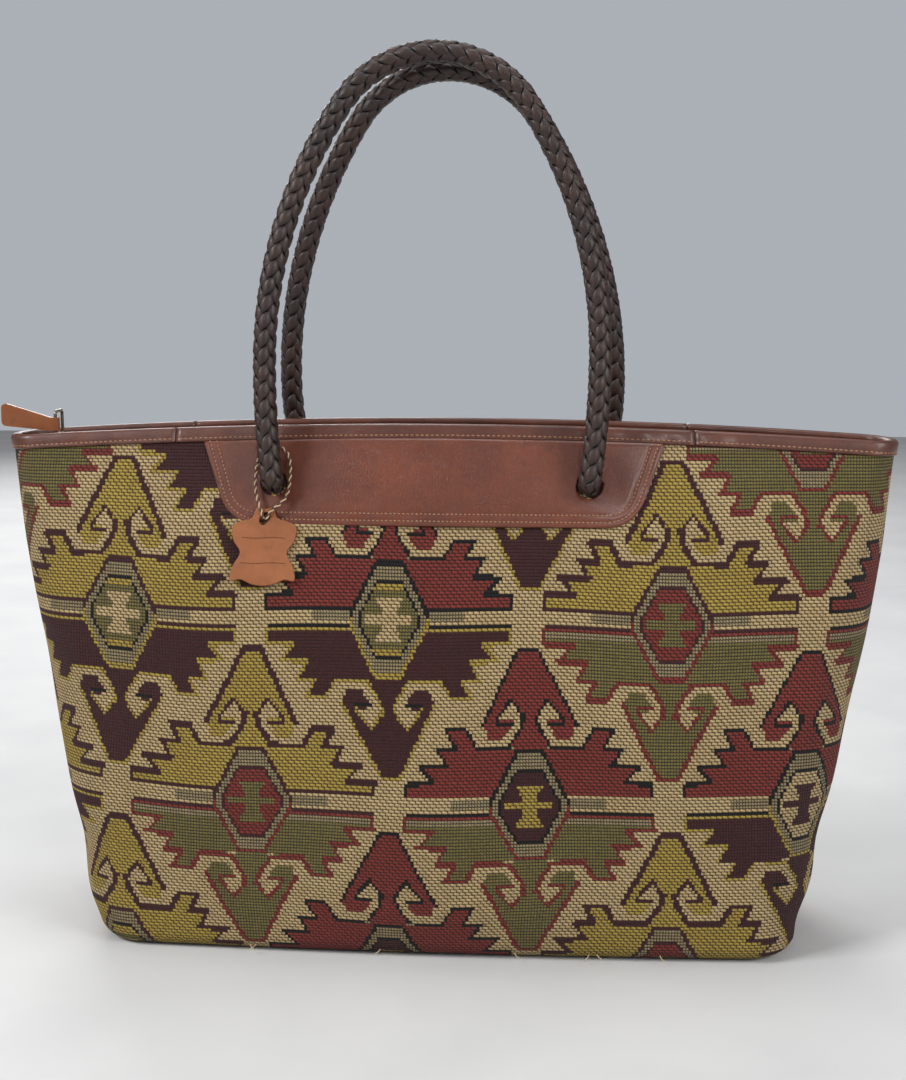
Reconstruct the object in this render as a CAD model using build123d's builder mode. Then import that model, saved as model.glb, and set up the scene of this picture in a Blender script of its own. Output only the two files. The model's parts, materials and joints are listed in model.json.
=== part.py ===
from build123d import *
import math
import os

# Zipped tapestry tote bag with braided leather handles.
# Millimetres, +Z up, origin at the middle of the base, front face towards -Y.

# Bag body: widths run along X, depths along Y, measured on the outside of the cloth
height = 271.0
rim_dip = 8.0
base_width = 372.0
base_depth = 122.0
belly_height = 118.0
belly_width = 421.0
belly_depth = 136.0
rim_width = 466.0
rim_depth = 44.0
toe_radius = 9.0
toe_steps = 3
skin_bands = 8

# Roundness of the horizontal section at base, belly and rim
corner_radius = (26.0, 38.0, 13.0)
front_crown = (3.0, 15.0, 4.0)
end_crown = (3.0, 3.0, 1.0)

# Cloth, lining and stiffener
cloth = 2.0
lining_cloth = 0.8
lining_toe = 6.0
board_thickness = 2.0
board_margin = 8.0
layer_gap = 0.3
hem = 4.0

# Leather
yoke_leather = 1.5
binding_leather = 1.2
binding_drop = 6.5
binding_joint = 0.4
end_binding_reach = 133.0
stitch_gap = 0.15

# Yoke patches, one on each face, with the front one sewn on a little off centre
patch_shift = -6.0
back_patch_shift = 0.0
yoke_half_top = 122.0
yoke_half_bottom = 103.0
yoke_drop = 49.0
yoke_corner = 20.0

# Braided handles
braid_radius = 6.2
leg_half_spacing = 80.0
leg_half_bow = 84.6
back_half_spacing = 83.0
back_half_bow = 88.5
hole_drop = 29.0
hole_gap = 0.55
hole_depth = 20.0
handle_rise = 216.0
back_handle_rise = 209.0
handle_gap = 0.4
crown_radius = 56.0
crown_angle = 57.0
ball_gap = 0.3
plug_proud = 0.9
knot_flange = 2.8
knot_thickness = 4.0

# Zip
zip_drop = 12.0
tape_thickness = 0.9
slot_width = 1.4
bead_width = 1.2
tooth_length = 1.0
tooth_pitch = 3.0
tooth_fill = 0.55
teeth_height = 2.0
zip_left_inset = 19.0
zip_right_inset = 33.0
stop_length = 2.4
stop_wall = 0.8
stop_edge = 0.25

# Slider, ring and pull
slider_length = 10.0
slider_width = 9.0
slider_plate = 1.1
slider_gap = 0.35
slider_divider = 0.8
slider_divider_length = 4.0
slider_corner = 2.0
bridge_width = 3.4
bridge_bore = 1.15
bridge_wall = 0.9
ring_wire = 0.85
ring_width = 11.0
ring_height = 13.5
ring_bend = 2.0
pull_length = 29.0
pull_root = 7.0
pull_end = 12.5
pull_rise = 2.5
pull_corner = 2.5
pull_leather = 1.1
pull_neck = 6.0

# Hang tag and its cord
tag_width = 36.0
tag_height = 40.0
tag_thickness = 2.0
tag_gap = 0.9
tag_shift = -3.5
tag_top_drop = 16.0
tag_slot_length = 7.0
tag_slot_width = 4.4
tag_slot_drop = 5.5
tag_slot_turn = 60.0
tag_half_outline = (
    (0.0, 0.02),
    (0.22, 0.0),
    (0.36, 0.13),
    (0.62, 0.17),
    (0.90, 0.24),
    (0.86, 0.42),
    (0.66, 0.58),
    (0.86, 0.76),
    (0.90, 0.93),
    (0.62, 0.92),
    (0.30, 0.98),
    (0.0, 1.0),
)
cord_radius = 0.8
bend_share = 0.45

# Reach of the cutting blocks
outside = 300.0
past_rim = 6.0
rim_reach = 20.0

half_rim = rim_width / 2
hole_z = height - hole_drop
hole_radius = braid_radius + hole_gap
knot_radius = braid_radius + knot_flange
zip_height = height - zip_drop
zip_left = zip_left_inset - half_rim
zip_right = half_rim - zip_right_inset
band_rise = (height + past_rim - toe_radius) / skin_bands
band_levels = [toe_radius + band_rise * band for band in range(skin_bands + 1)]


def through_three(z, low, middle, high):
    """Parabola through the values at the base, the belly and the rim."""
    a, b = belly_height, height
    slope_low = (middle - low) / a
    slope_high = (high - low) / b
    bend = (slope_high - slope_low) / (b - a)
    return low + (slope_low - bend * a) * z + bend * z * z


def section_circles(z):
    """Centres and radii of the front, corner and end arcs of the section at height z."""
    a = through_three(z, base_width, belly_width, rim_width) / 2
    b = through_three(z, base_depth, belly_depth, rim_depth) / 2
    r = through_three(z, *corner_radius)
    crown = through_three(z, *front_crown)
    bow = through_three(z, *end_crown)
    corner_x = a - r - bow
    corner_y = crown + r - b
    front = (corner_x ** 2 + (r + crown) ** 2 - r ** 2) / (2 * crown)
    end = (corner_y ** 2 + (r + bow) ** 2 - r ** 2) / (2 * bow)
    return (0.0, front - b, front), (corner_x, corner_y, r), (a - end, 0.0, end)


def section_face(z, grow, level=None):
    """Closed section of the bag at height z, grown outwards by grow, drawn there or at level."""
    (fx, fy, fr), (cx, cy, cr), (ex, ey, er) = section_circles(z)
    turn_front = math.atan2(cy - fy, cx - fx)
    turn_end = math.atan2(cy - ey, cx - ex)

    def on_circle(x, y, radius, angle):
        return (x + radius * math.cos(angle), y + radius * math.sin(angle))

    front_tip = on_circle(fx, fy, fr + grow, -math.pi / 2)
    join_front = on_circle(cx, cy, cr + grow, turn_front)
    corner_mid = on_circle(cx, cy, cr + grow, (turn_front + turn_end) / 2)
    join_end = on_circle(cx, cy, cr + grow, turn_end)
    end_tip = on_circle(ex, ey, er + grow, 0)

    def flip(point, sx, sy):
        return (point[0] * sx, point[1] * sy)

    with BuildSketch(Plane.XY.offset(z if level is None else level)) as section:
        with BuildLine():
            ThreePointArc(flip(join_front, -1, 1), front_tip, join_front)
            ThreePointArc(join_front, corner_mid, join_end)
            ThreePointArc(join_end, end_tip, flip(join_end, 1, -1))
            ThreePointArc(flip(join_end, 1, -1), flip(corner_mid, 1, -1), flip(join_front, 1, -1))
            ThreePointArc(flip(join_front, 1, -1), flip(front_tip, 1, -1), flip(join_front, -1, -1))
            ThreePointArc(flip(join_front, -1, -1), flip(corner_mid, -1, -1), flip(join_end, -1, -1))
            ThreePointArc(flip(join_end, -1, -1), flip(end_tip, -1, 1), flip(join_end, -1, 1))
            ThreePointArc(flip(join_end, -1, 1), flip(corner_mid, -1, 1), flip(join_front, -1, 1))
        make_face()
    return section.sketch


def skin(grow, foot=0.0, toe=0.0):
    """Solid bounded by the bag's outer surface grown by grow, from a rounded foot to past the rim."""
    sides = [z for z in band_levels if z > foot + toe]
    with BuildPart() as solid:
        for step in range(toe_steps + 1):
            turn = math.pi / 2 * step / toe_steps
            if toe:
                add(section_face(foot + toe * (1 - math.cos(turn)), grow - toe * (1 - math.sin(turn))))
        for z in sides:
            add(section_face(z, grow))
        loft(ruled=True)
    return solid.part


def depth_at(x, z):
    """Distance of the front surface from the middle plane, between the levels that the skins join."""
    above = next(level for level in band_levels if level > z)
    below = above - band_rise
    share = (z - below) / band_rise

    def depth_on(level):
        fx, fy, fr = section_circles(level)[0]
        return math.sqrt(fr ** 2 - x * x) - fy

    return depth_on(below) * (1 - share) + depth_on(above) * share


def lean_at(x, z):
    """Angle from vertical of the front surface, in radians, positive where it leans in."""
    step = past_rim
    return math.atan2(depth_at(x, z - step) - depth_at(x, z + step), 2 * step)


def on_front(x, z, stand):
    """Point at a distance of stand in front of the bare cloth, measured square to it."""
    lean = lean_at(x, z)
    return Vector(x, -depth_at(x, z) - stand * math.cos(lean), z + stand * math.sin(lean))


def below_rim(drop):
    """Everything lower than a given distance under the arched rim."""
    reach = half_rim + rim_reach
    sag = rim_dip * (reach / half_rim) ** 2
    with BuildPart() as slab:
        with BuildSketch(Plane.XZ):
            with BuildLine():
                top = ThreePointArc(
                    (-reach, height - drop - sag), (0, height - drop), (reach, height - drop - sag)
                )
                Polyline(top @ 0, (-reach, -rim_reach), (reach, -rim_reach), top @ 1)
            make_face()
        extrude(amount=outside, both=True)
    return slab.part


def block(low, high):
    """Box between two opposite corners."""
    middle = tuple((a + b) / 2 for a, b in zip(low, high))
    with BuildPart() as box:
        with Locations(middle):
            Box(high[0] - low[0], high[1] - low[1], high[2] - low[2])
    return box.part


seam = stitch_gap / 2
front_half = block((-outside, -outside, -outside), (outside, -seam, 2 * outside))
back_half = block((-outside, seam, -outside), (outside, outside, 2 * outside))

# Handle roots: where each braid meets the leather
yoke_face = stitch_gap + yoke_leather
root_xs = {
    -1: (patch_shift - leg_half_spacing, patch_shift + leg_half_spacing),
    1: (back_patch_shift - back_half_spacing, back_patch_shift + back_half_spacing),
}
ball_stand = yoke_face + plug_proud + ball_gap + braid_radius
root_point = on_front(leg_half_spacing, hole_z, ball_stand)
root_y = root_point.Y
root_z = root_point.Z


def root_plane(x, side):
    """Plane at a handle root, on the bare cloth and facing out; side is -1 at the front."""
    point = on_front(x, hole_z, 0.0)
    lean = lean_at(x, hole_z)
    outward = (0, side * math.cos(lean), math.sin(lean))
    return Plane(origin=(x, -side * point.Y, point.Z), x_dir=(1, 0, 0), z_dir=outward)


with BuildPart() as holes:
    for side in (-1, 1):
        for x in root_xs[side]:
            with BuildSketch(root_plane(x, side).offset(-hole_depth / 2)):
                Circle(hole_radius)
            extrude(amount=hole_depth)

# Tapestry shell: front and back panels and the base
cloth_outer = skin(0.0, toe=toe_radius)
cloth_inner = skin(-cloth, foot=cloth, toe=toe_radius - cloth)
with BuildPart() as shell:
    add(cloth_outer)
    add(cloth_inner, mode=Mode.SUBTRACT)
    add(below_rim(0.0), mode=Mode.INTERSECT)
    add(holes.part, mode=Mode.SUBTRACT)
    add(section_face(0.0, -toe_radius - hem))
    extrude(amount=cloth, mode=Mode.SUBTRACT)

with BuildPart() as front_panel:
    add(shell.part)
    add(front_half, mode=Mode.INTERSECT)
front_panel.part.label = "front_panel"

with BuildPart() as back_panel:
    add(shell.part)
    add(back_half, mode=Mode.INTERSECT)
back_panel.part.label = "back_panel"

with BuildPart() as base_panel:
    add(section_face(0.0, -toe_radius - hem - stitch_gap))
    extrude(amount=cloth)
base_panel.part.label = "base_panel"

# Stiff board lying on the base, under the lining
board_z = cloth + layer_gap
with BuildPart() as base_board:
    add(section_face(0.0, -cloth - board_margin, level=board_z))
    extrude(amount=board_thickness)
base_board.part.label = "base_board"

# Lining: a thin fabric bag inside the bag, hung from the zip tapes
lining_z = board_z + board_thickness + layer_gap
lining_floor = lining_z + lining_cloth
lining_top = zip_height - tape_thickness / 2 - layer_gap
lining_grow = -cloth - layer_gap
lining_outer = skin(lining_grow, foot=lining_z, toe=lining_toe)
lining_inner = skin(lining_grow - lining_cloth, foot=lining_floor, toe=lining_toe - lining_cloth)
with BuildPart() as lining:
    add(lining_outer)
    add(lining_inner, mode=Mode.SUBTRACT)
    add(block((-outside, -outside, 0), (outside, outside, lining_top)), mode=Mode.INTERSECT)
    add(below_rim(binding_drop + layer_gap), mode=Mode.INTERSECT)
    add(holes.part, mode=Mode.SUBTRACT)
lining.part.label = "lining"

# Yoke: a leather patch with slanted ends and rounded lower corners, on each face
with BuildPart() as yoke_skin:
    add(skin(yoke_face))
    add(skin(stitch_gap), mode=Mode.SUBTRACT)
    add(below_rim(binding_drop + stitch_gap), mode=Mode.INTERSECT)
    add(holes.part, mode=Mode.SUBTRACT)


def yoke(shift, half):
    """Patch of the yoke skin centred at shift, on the front or back half."""
    with BuildPart() as patch:
        with BuildSketch(Plane.XZ):
            with BuildLine() as edge:
                FilletPolyline(
                    (shift - yoke_half_top, height + hem),
                    (shift - yoke_half_bottom, height - yoke_drop),
                    (shift + yoke_half_bottom, height - yoke_drop),
                    (shift + yoke_half_top, height + hem),
                    radius=yoke_corner,
                )
                Line(edge.line @ 1, edge.line @ 0)
            make_face()
        extrude(amount=outside, both=True)
        add(yoke_skin.part, mode=Mode.INTERSECT)
        add(half, mode=Mode.INTERSECT)
    return patch.part


with BuildPart() as front_yoke:
    add(yoke(patch_shift, front_half))
front_yoke.part.label = "front_yoke"

with BuildPart() as back_yoke:
    add(yoke(back_patch_shift, back_half))
back_yoke.part.label = "back_yoke"

# Rim binding: a leather strip folded over the raw edge, in four lengths
fold = stitch_gap + binding_leather
with BuildPart() as edge_space:
    add(skin(stitch_gap))
    add(skin(-cloth - stitch_gap), mode=Mode.SUBTRACT)
    add(below_rim(-stitch_gap), mode=Mode.INTERSECT)
with BuildPart() as binding:
    add(skin(fold))
    add(skin(-cloth - fold), mode=Mode.SUBTRACT)
    add(below_rim(-fold), mode=Mode.INTERSECT)
    add(below_rim(binding_drop), mode=Mode.SUBTRACT)
    add(edge_space.part, mode=Mode.SUBTRACT)

joint_left = patch_shift - end_binding_reach
joint_right = patch_shift + end_binding_reach
gap = binding_joint / 2
middle_span = block((joint_left + gap, -outside, 0), (joint_right - gap, outside, 2 * outside))
left_span = block((-outside, -outside, 0), (joint_left - gap, outside, 2 * outside))
right_span = block((joint_right + gap, -outside, 0), (outside, outside, 2 * outside))

with BuildPart() as rim_binding_front:
    add(binding.part)
    add(middle_span, mode=Mode.INTERSECT)
    add(front_half, mode=Mode.INTERSECT)
rim_binding_front.part.label = "rim_binding_front"

with BuildPart() as rim_binding_back:
    add(binding.part)
    add(middle_span, mode=Mode.INTERSECT)
    add(back_half, mode=Mode.INTERSECT)
rim_binding_back.part.label = "rim_binding_back"

with BuildPart() as rim_binding_left:
    add(binding.part)
    add(left_span, mode=Mode.INTERSECT)
rim_binding_left.part.label = "rim_binding_left"

with BuildPart() as rim_binding_right:
    add(binding.part)
    add(right_span, mode=Mode.INTERSECT)
rim_binding_right.part.label = "rim_binding_right"

# Zip tapes: flat strips that close the mouth between the lining and the teeth
teeth_inner = slot_width / 2
bead_inner = teeth_inner + tooth_length
bead_outer = bead_inner + bead_width
tape_low = zip_height - tape_thickness / 2
with BuildPart() as mouth:
    add(section_face(zip_height, -cloth - binding_leather - 2 * layer_gap, level=tape_low))
    extrude(amount=tape_thickness)

with BuildPart() as zip_tape_front:
    add(mouth.part)
    add(block((-outside, -outside, 0), (outside, -bead_outer, height)), mode=Mode.INTERSECT)
zip_tape_front.part.label = "zip_tape_front"

with BuildPart() as zip_tape_back:
    add(mouth.part)
    add(block((-outside, bead_outer, 0), (outside, outside, height)), mode=Mode.INTERSECT)
zip_tape_back.part.label = "zip_tape_back"

# Zip teeth: two combs cut to the same pitch, half a pitch apart
tooth_count = int((zip_right - zip_left) / tooth_pitch)
row_middle = (zip_left + zip_right) / 2


def teeth_row(side, start):
    """One comb of teeth on its bead; side is -1 at the front and 1 at the back."""
    low_z = zip_height - teeth_height / 2
    with BuildPart() as row:
        with BuildSketch(Plane.XY.offset(low_z)):
            with Locations((row_middle, side * (bead_inner + bead_outer) / 2)):
                Rectangle(zip_right - zip_left, bead_width)
            with Locations((start, side * (teeth_inner + bead_inner) / 2)):
                with GridLocations(tooth_pitch, 0, tooth_count - 1, 1):
                    Rectangle(tooth_pitch * tooth_fill, tooth_length)
        extrude(amount=teeth_height)
    return row.part


with BuildPart() as zip_teeth_front:
    add(teeth_row(-1, row_middle - tooth_pitch / 4))
zip_teeth_front.part.label = "zip_teeth_front"

with BuildPart() as zip_teeth_back:
    add(teeth_row(1, row_middle + tooth_pitch / 4))
zip_teeth_back.part.label = "zip_teeth_back"

# Zip stops: a clip on each bead at the left, one across both at the right
stop_height = teeth_height + 2 * stop_wall
stop_outer = bead_outer + stop_wall
with BuildPart() as zip_stops:
    for side in (-1, 1):
        clip_y = side * (stop_outer + teeth_inner) / 2
        with Locations((zip_left - stop_length / 2 - seam, clip_y, zip_height)):
            Box(stop_length, stop_outer - teeth_inner, stop_height)
    with Locations((zip_right + stop_length / 2 + seam, 0, zip_height)):
        Box(stop_length, 2 * stop_outer, stop_height)
    fillet(zip_stops.edges().filter_by(Axis.X), radius=stop_edge)
    for side in (-1, 1):
        with Locations((row_middle, side * (bead_outer + outside / 2), zip_height)):
            Box(2 * outside, outside, tape_thickness + 2 * seam, mode=Mode.SUBTRACT)
zip_stops.part.label = "zip_stops"

# Slider: two plates round the teeth, a divider between the rows and a bridge for the ring
slider_x = zip_left + slider_length / 2 + slider_gap
throat_half = teeth_height / 2 + slider_gap
flange_inner = bead_outer + slider_gap
flange_half = tape_thickness / 2 + slider_gap
slider_half = throat_half + slider_plate
bridge_foot = zip_height + slider_half
ring_axis_z = bridge_foot + bridge_bore
with BuildPart() as zip_slider:
    with BuildSketch(Plane.XY.offset(zip_height - slider_half)):
        with Locations((slider_x, 0)):
            RectangleRounded(slider_length, slider_width, slider_corner)
    extrude(amount=2 * slider_half)
    with Locations((slider_x, 0, zip_height)):
        Box(2 * slider_length, 2 * flange_inner, 2 * throat_half, mode=Mode.SUBTRACT)
        Box(2 * slider_length, 2 * slider_width, 2 * flange_half, mode=Mode.SUBTRACT)
        Box(slider_divider_length, slider_divider, 2 * throat_half + slider_plate)
    with BuildSketch(Plane.XZ.offset(-bridge_width / 2)):
        with Locations((slider_x, ring_axis_z)):
            Circle(bridge_bore + bridge_wall)
        with Locations((slider_x, bridge_foot)):
            Rectangle(2 * (bridge_bore + bridge_wall), 2 * bridge_bore)
        with Locations((slider_x, ring_axis_z)):
            Circle(bridge_bore, mode=Mode.SUBTRACT)
    extrude(amount=bridge_width)
zip_slider.part.label = "zip_slider"

# Ring: a rectangular wire loop standing in the bridge, seen edge-on from the front
with BuildPart() as zip_pull_ring:
    with BuildLine(Plane(origin=(slider_x, 0, ring_axis_z), x_dir=(0, 1, 0), z_dir=(1, 0, 0))) as loop:
        FilletPolyline(
            (ring_width / 2, 0),
            (ring_width / 2, ring_height),
            (-ring_width / 2, ring_height),
            (-ring_width / 2, 0),
            radius=ring_bend,
            close=True,
        )
    with BuildSketch(Plane(origin=loop.wire() @ 0, z_dir=loop.wire() % 0)):
        Circle(ring_wire)
    sweep(path=loop.wire())
zip_pull_ring.part.label = "zip_pull_ring"

# Pull: a strap folded round the front bar of the ring, reaching past the end of the bag
bar_y = -ring_width / 2
bar_middle = ring_axis_z + ring_height / 2
eye_inner = ring_wire + layer_gap
eye_outer = eye_inner + pull_leather
with BuildPart() as zip_pull_tab:
    with BuildSketch(Plane.XY.offset(bar_middle - pull_end)):
        with Locations((slider_x, bar_y)):
            Circle(eye_outer)
        with BuildLine():
            Polyline(
                (slider_x, bar_y - eye_outer),
                (slider_x - pull_neck, bar_y - pull_leather),
                (slider_x - pull_length, bar_y - pull_leather),
                (slider_x - pull_length, bar_y + pull_leather),
                (slider_x - pull_neck, bar_y + pull_leather),
                (slider_x, bar_y + eye_outer),
                close=True,
            )
        make_face()
        with Locations((slider_x, bar_y)):
            Circle(eye_inner, mode=Mode.SUBTRACT)
    extrude(amount=2 * pull_end)
    with BuildSketch(Plane.XZ):
        with BuildLine() as tab_edge:
            FilletPolyline(
                (slider_x + eye_outer, bar_middle - pull_root / 2),
                (slider_x - eye_outer, bar_middle - pull_root / 2),
                (slider_x - pull_length, bar_middle - pull_root / 2 + pull_rise),
                (slider_x - pull_length, bar_middle - pull_root / 2 + pull_rise + pull_end),
                (slider_x - eye_outer, bar_middle + pull_root / 2),
                (slider_x + eye_outer, bar_middle + pull_root / 2),
                radius=pull_corner,
            )
            Line(tab_edge.line @ 1, tab_edge.line @ 0)
        make_face()
    extrude(amount=outside, both=True, mode=Mode.INTERSECT)
zip_pull_tab.part.label = "zip_pull_tab"

# Handles: each braid is an arch of tangent arcs that ends in a rounded root at each hole
turn = math.radians(crown_angle)
shoulder_turn = math.pi / 2 - turn
crown_x = crown_radius * math.sin(turn)


def handle_lean(rise):
    """Angle from vertical at which the two crowns just miss each other over the zip."""
    return math.asin((-root_y - braid_radius - handle_gap / 2) / rise)


def arch(side, shift, half_spacing, half_bow, rise):
    """Handle that leans in over the zip; side is -1 at the front and 1 at the back."""
    lean = handle_lean(rise)
    crown_y = rise - crown_radius * (1 - math.cos(turn))
    shoulder_radius = (half_bow - crown_x) / (1 - math.cos(shoulder_turn))
    foot_y = crown_y - shoulder_radius * math.sin(shoulder_turn)
    shoulder_x = half_bow - shoulder_radius * (1 - math.cos(shoulder_turn / 2))
    shoulder_y = foot_y + shoulder_radius * math.sin(shoulder_turn / 2)
    leg_x = half_bow - (half_bow - half_spacing) / 4
    outward = (0, -math.cos(lean), -side * math.sin(lean))
    plane = Plane(origin=(shift, -side * root_y, root_z), x_dir=(1, 0, 0), z_dir=outward)
    with BuildPart() as handle:
        with BuildLine(plane) as line:
            ThreePointArc((-half_spacing, 0), (-leg_x, foot_y / 2), (-half_bow, foot_y))
            ThreePointArc((-half_bow, foot_y), (-shoulder_x, shoulder_y), (-crown_x, crown_y))
            ThreePointArc((-crown_x, crown_y), (0, rise), (crown_x, crown_y))
            ThreePointArc((crown_x, crown_y), (shoulder_x, shoulder_y), (half_bow, foot_y))
            ThreePointArc((half_bow, foot_y), (leg_x, foot_y / 2), (half_spacing, 0))
        with BuildSketch(Plane(origin=line.wire() @ 0, z_dir=line.wire() % 0)):
            Circle(braid_radius)
        sweep(path=line.wire())
        with Locations(line.wire() @ 0, line.wire() @ 1):
            Sphere(braid_radius)
    return handle.part


with BuildPart() as front_handle:
    add(arch(-1, patch_shift, leg_half_spacing, leg_half_bow, handle_rise))
front_handle.part.label = "front_handle"

with BuildPart() as back_handle:
    add(arch(1, back_patch_shift, back_half_spacing, back_half_bow, back_handle_rise))
back_handle.part.label = "back_handle"

# Sewn-in ends of the braids: a plug in each hole with a knot inside the lining
knot_seat = cloth + layer_gap + lining_cloth + layer_gap


def braid_tails(side):
    """The two fixed braid ends of one handle; side is -1 at the front and 1 at the back."""
    with BuildPart() as tails:
        for x in root_xs[side]:
            root = root_plane(x, side)
            with BuildSketch(root.offset(-knot_seat - knot_thickness)):
                Circle(knot_radius)
            extrude(amount=knot_thickness)
            with BuildSketch(root.offset(-knot_seat - knot_thickness / 2)):
                Circle(braid_radius)
            extrude(amount=knot_seat + knot_thickness / 2 + yoke_face + plug_proud)
    return tails.part


with BuildPart() as front_handle_tails:
    add(braid_tails(-1))
front_handle_tails.part.label = "front_handle_tails"

with BuildPart() as back_handle_tails:
    add(braid_tails(1))
back_handle_tails.part.label = "back_handle_tails"

# Hang tag: a little hide-shaped plate lying against the yoke
tag_root_x = root_xs[-1][0]
tag_x = tag_root_x + tag_shift
tag_top_z = root_z - tag_top_drop
tag_lean = lean_at(tag_x, height - yoke_drop)
tag_touch = on_front(tag_x, height - yoke_drop, yoke_face + tag_gap)
tag_plane = Plane(
    origin=tag_touch, x_dir=(1, 0, 0), z_dir=(0, -math.cos(tag_lean), math.sin(tag_lean))
)
tag_top = (tag_top_z - tag_touch.Z) / math.cos(tag_lean)
with BuildPart() as hang_tag:
    with BuildSketch(tag_plane):
        with BuildLine():
            half = [(fx * tag_width / 2, tag_top - fy * tag_height) for fx, fy in tag_half_outline]
            Spline(*half)
            Spline(*[(-px, py) for px, py in half])
        make_face()
        with Locations((0, tag_top - tag_slot_drop)):
            SlotOverall(tag_slot_length, tag_slot_width, rotation=tag_slot_turn, mode=Mode.SUBTRACT)
    extrude(amount=tag_thickness)
hang_tag.part.label = "hang_tag"

# Tag cord: hooked behind the left root of the front handle, both ends in the tag's slot
slot_point = tag_plane.from_local_coords((0, tag_top - tag_slot_drop, tag_thickness))


def cord_point(sideways, drop, stand):
    """Point on the cord's route, beside the root and a drop below its centre."""
    return on_front(tag_root_x + sideways, root_z - drop, stand)


slot_drop = root_z - slot_point.Z
cord_route = [
    cord_point(tag_shift - 0.8, slot_drop + 1.0, 5.2),
    cord_point(tag_shift - 2.0, slot_drop - 3.6, 6.3),
    cord_point(-7.4, 13.2, 5.6),
    cord_point(-9.2, 6.8, 4.9),
    cord_point(-9.4, -1.4, 4.3),
    cord_point(-8.6, -8.9, 3.9),
    cord_point(-4.8, -13.7, 3.6),
    cord_point(1.4, -14.3, 3.6),
    cord_point(6.4, -11.2, 3.7),
    cord_point(8.5, -4.6, 4.1),
    cord_point(8.6, 3.0, 4.6),
    cord_point(7.8, 9.8, 5.1),
    cord_point(4.2, 14.8, 5.9),
    cord_point(tag_shift + 2.6, slot_drop - 2.6, 6.3),
    cord_point(tag_shift + 0.8, slot_drop + 1.4, 5.2),
]


def bend_radii(points):
    """Largest arc at each corner of a route that leaves room for its neighbours."""
    radii = []
    for before, corner, after in zip(points, points[1:], points[2:]):
        run = min((corner - before).length, (after - corner).length)
        half_turn = math.radians((corner - before).get_angle(after - corner)) / 2
        radii.append(bend_share * run / math.tan(half_turn))
    return radii


cord_radii = bend_radii(cord_route)
print("tag cord bend radii", [round(radius, 1) for radius in cord_radii])
with BuildPart() as tag_cord:
    with BuildLine() as cord_line:
        FilletPolyline(*cord_route, radius=cord_radii)
    with BuildSketch(Plane(origin=cord_line.wire() @ 0, z_dir=cord_line.wire() % 0)):
        Circle(cord_radius)
    sweep(path=cord_line.wire())
cord_length = cord_line.wire().length
print("tag cord length", round(cord_length, 1))
tag_cord.part.label = "tag_cord"

os.makedirs("parts", exist_ok=True)
for piece in (
    front_panel,
    back_panel,
    base_panel,
    base_board,
    lining,
    front_yoke,
    back_yoke,
    rim_binding_front,
    rim_binding_back,
    rim_binding_left,
    rim_binding_right,
    zip_tape_front,
    zip_tape_back,
    zip_teeth_front,
    zip_teeth_back,
    zip_stops,
    zip_slider,
    zip_pull_ring,
    zip_pull_tab,
    front_handle,
    back_handle,
    front_handle_tails,
    back_handle_tails,
    hang_tag,
    tag_cord,
):
    export_step(piece.part, f"parts/{piece.part.label}.step")
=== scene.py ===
import json
import math
import random

import bmesh
import bpy
import numpy as np
from mathutils import Matrix, Vector


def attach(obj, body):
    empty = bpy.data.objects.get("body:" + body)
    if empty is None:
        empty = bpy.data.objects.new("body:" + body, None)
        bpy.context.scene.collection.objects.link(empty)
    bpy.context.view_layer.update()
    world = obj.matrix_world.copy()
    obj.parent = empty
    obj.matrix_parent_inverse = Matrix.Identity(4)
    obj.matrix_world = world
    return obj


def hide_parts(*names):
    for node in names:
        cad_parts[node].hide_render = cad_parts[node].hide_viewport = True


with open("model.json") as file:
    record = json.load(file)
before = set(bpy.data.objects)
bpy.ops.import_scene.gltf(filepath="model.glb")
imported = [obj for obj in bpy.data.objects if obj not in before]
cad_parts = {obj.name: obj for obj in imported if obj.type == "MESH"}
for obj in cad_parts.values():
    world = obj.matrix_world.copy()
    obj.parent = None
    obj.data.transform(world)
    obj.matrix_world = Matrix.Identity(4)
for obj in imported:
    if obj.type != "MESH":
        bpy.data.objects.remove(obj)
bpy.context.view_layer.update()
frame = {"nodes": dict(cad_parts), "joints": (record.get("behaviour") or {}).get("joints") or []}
random.seed(7)
noise = np.random.default_rng(7)

# Lengths in the tables and formulas of the bag are millimetres; meshes are made in metres
MM = 0.001

# Bag body, the same sizes as the frame was built with
HEIGHT, RIM_DIP, HALF_RIM = 271.0, 8.0, 233.0
BELLY_HEIGHT = 118.0
WIDTHS = (372.0, 421.0, 466.0)
DEPTHS = (122.0, 136.0, 44.0)
CORNERS = (26.0, 38.0, 13.0)
FRONT_CROWNS = (3.0, 15.0, 4.0)
END_CROWNS = (3.0, 3.0, 1.0)
TOE = 9.0
HEM = 4.0
CLOTH = 2.0

# Weave: one float of the tapestry covers two cells
CELL_WIDTH, ROW_PITCH = 1.5, 1.65


def through_three(z, values):
    """Parabola through the values at the base, the belly and the rim."""
    low, middle, high = values
    slope_low = (middle - low) / BELLY_HEIGHT
    slope_high = (high - low) / HEIGHT
    bend = (slope_high - slope_low) / (HEIGHT - BELLY_HEIGHT)
    return low + (slope_low - bend * BELLY_HEIGHT) * z + bend * z * z


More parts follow.
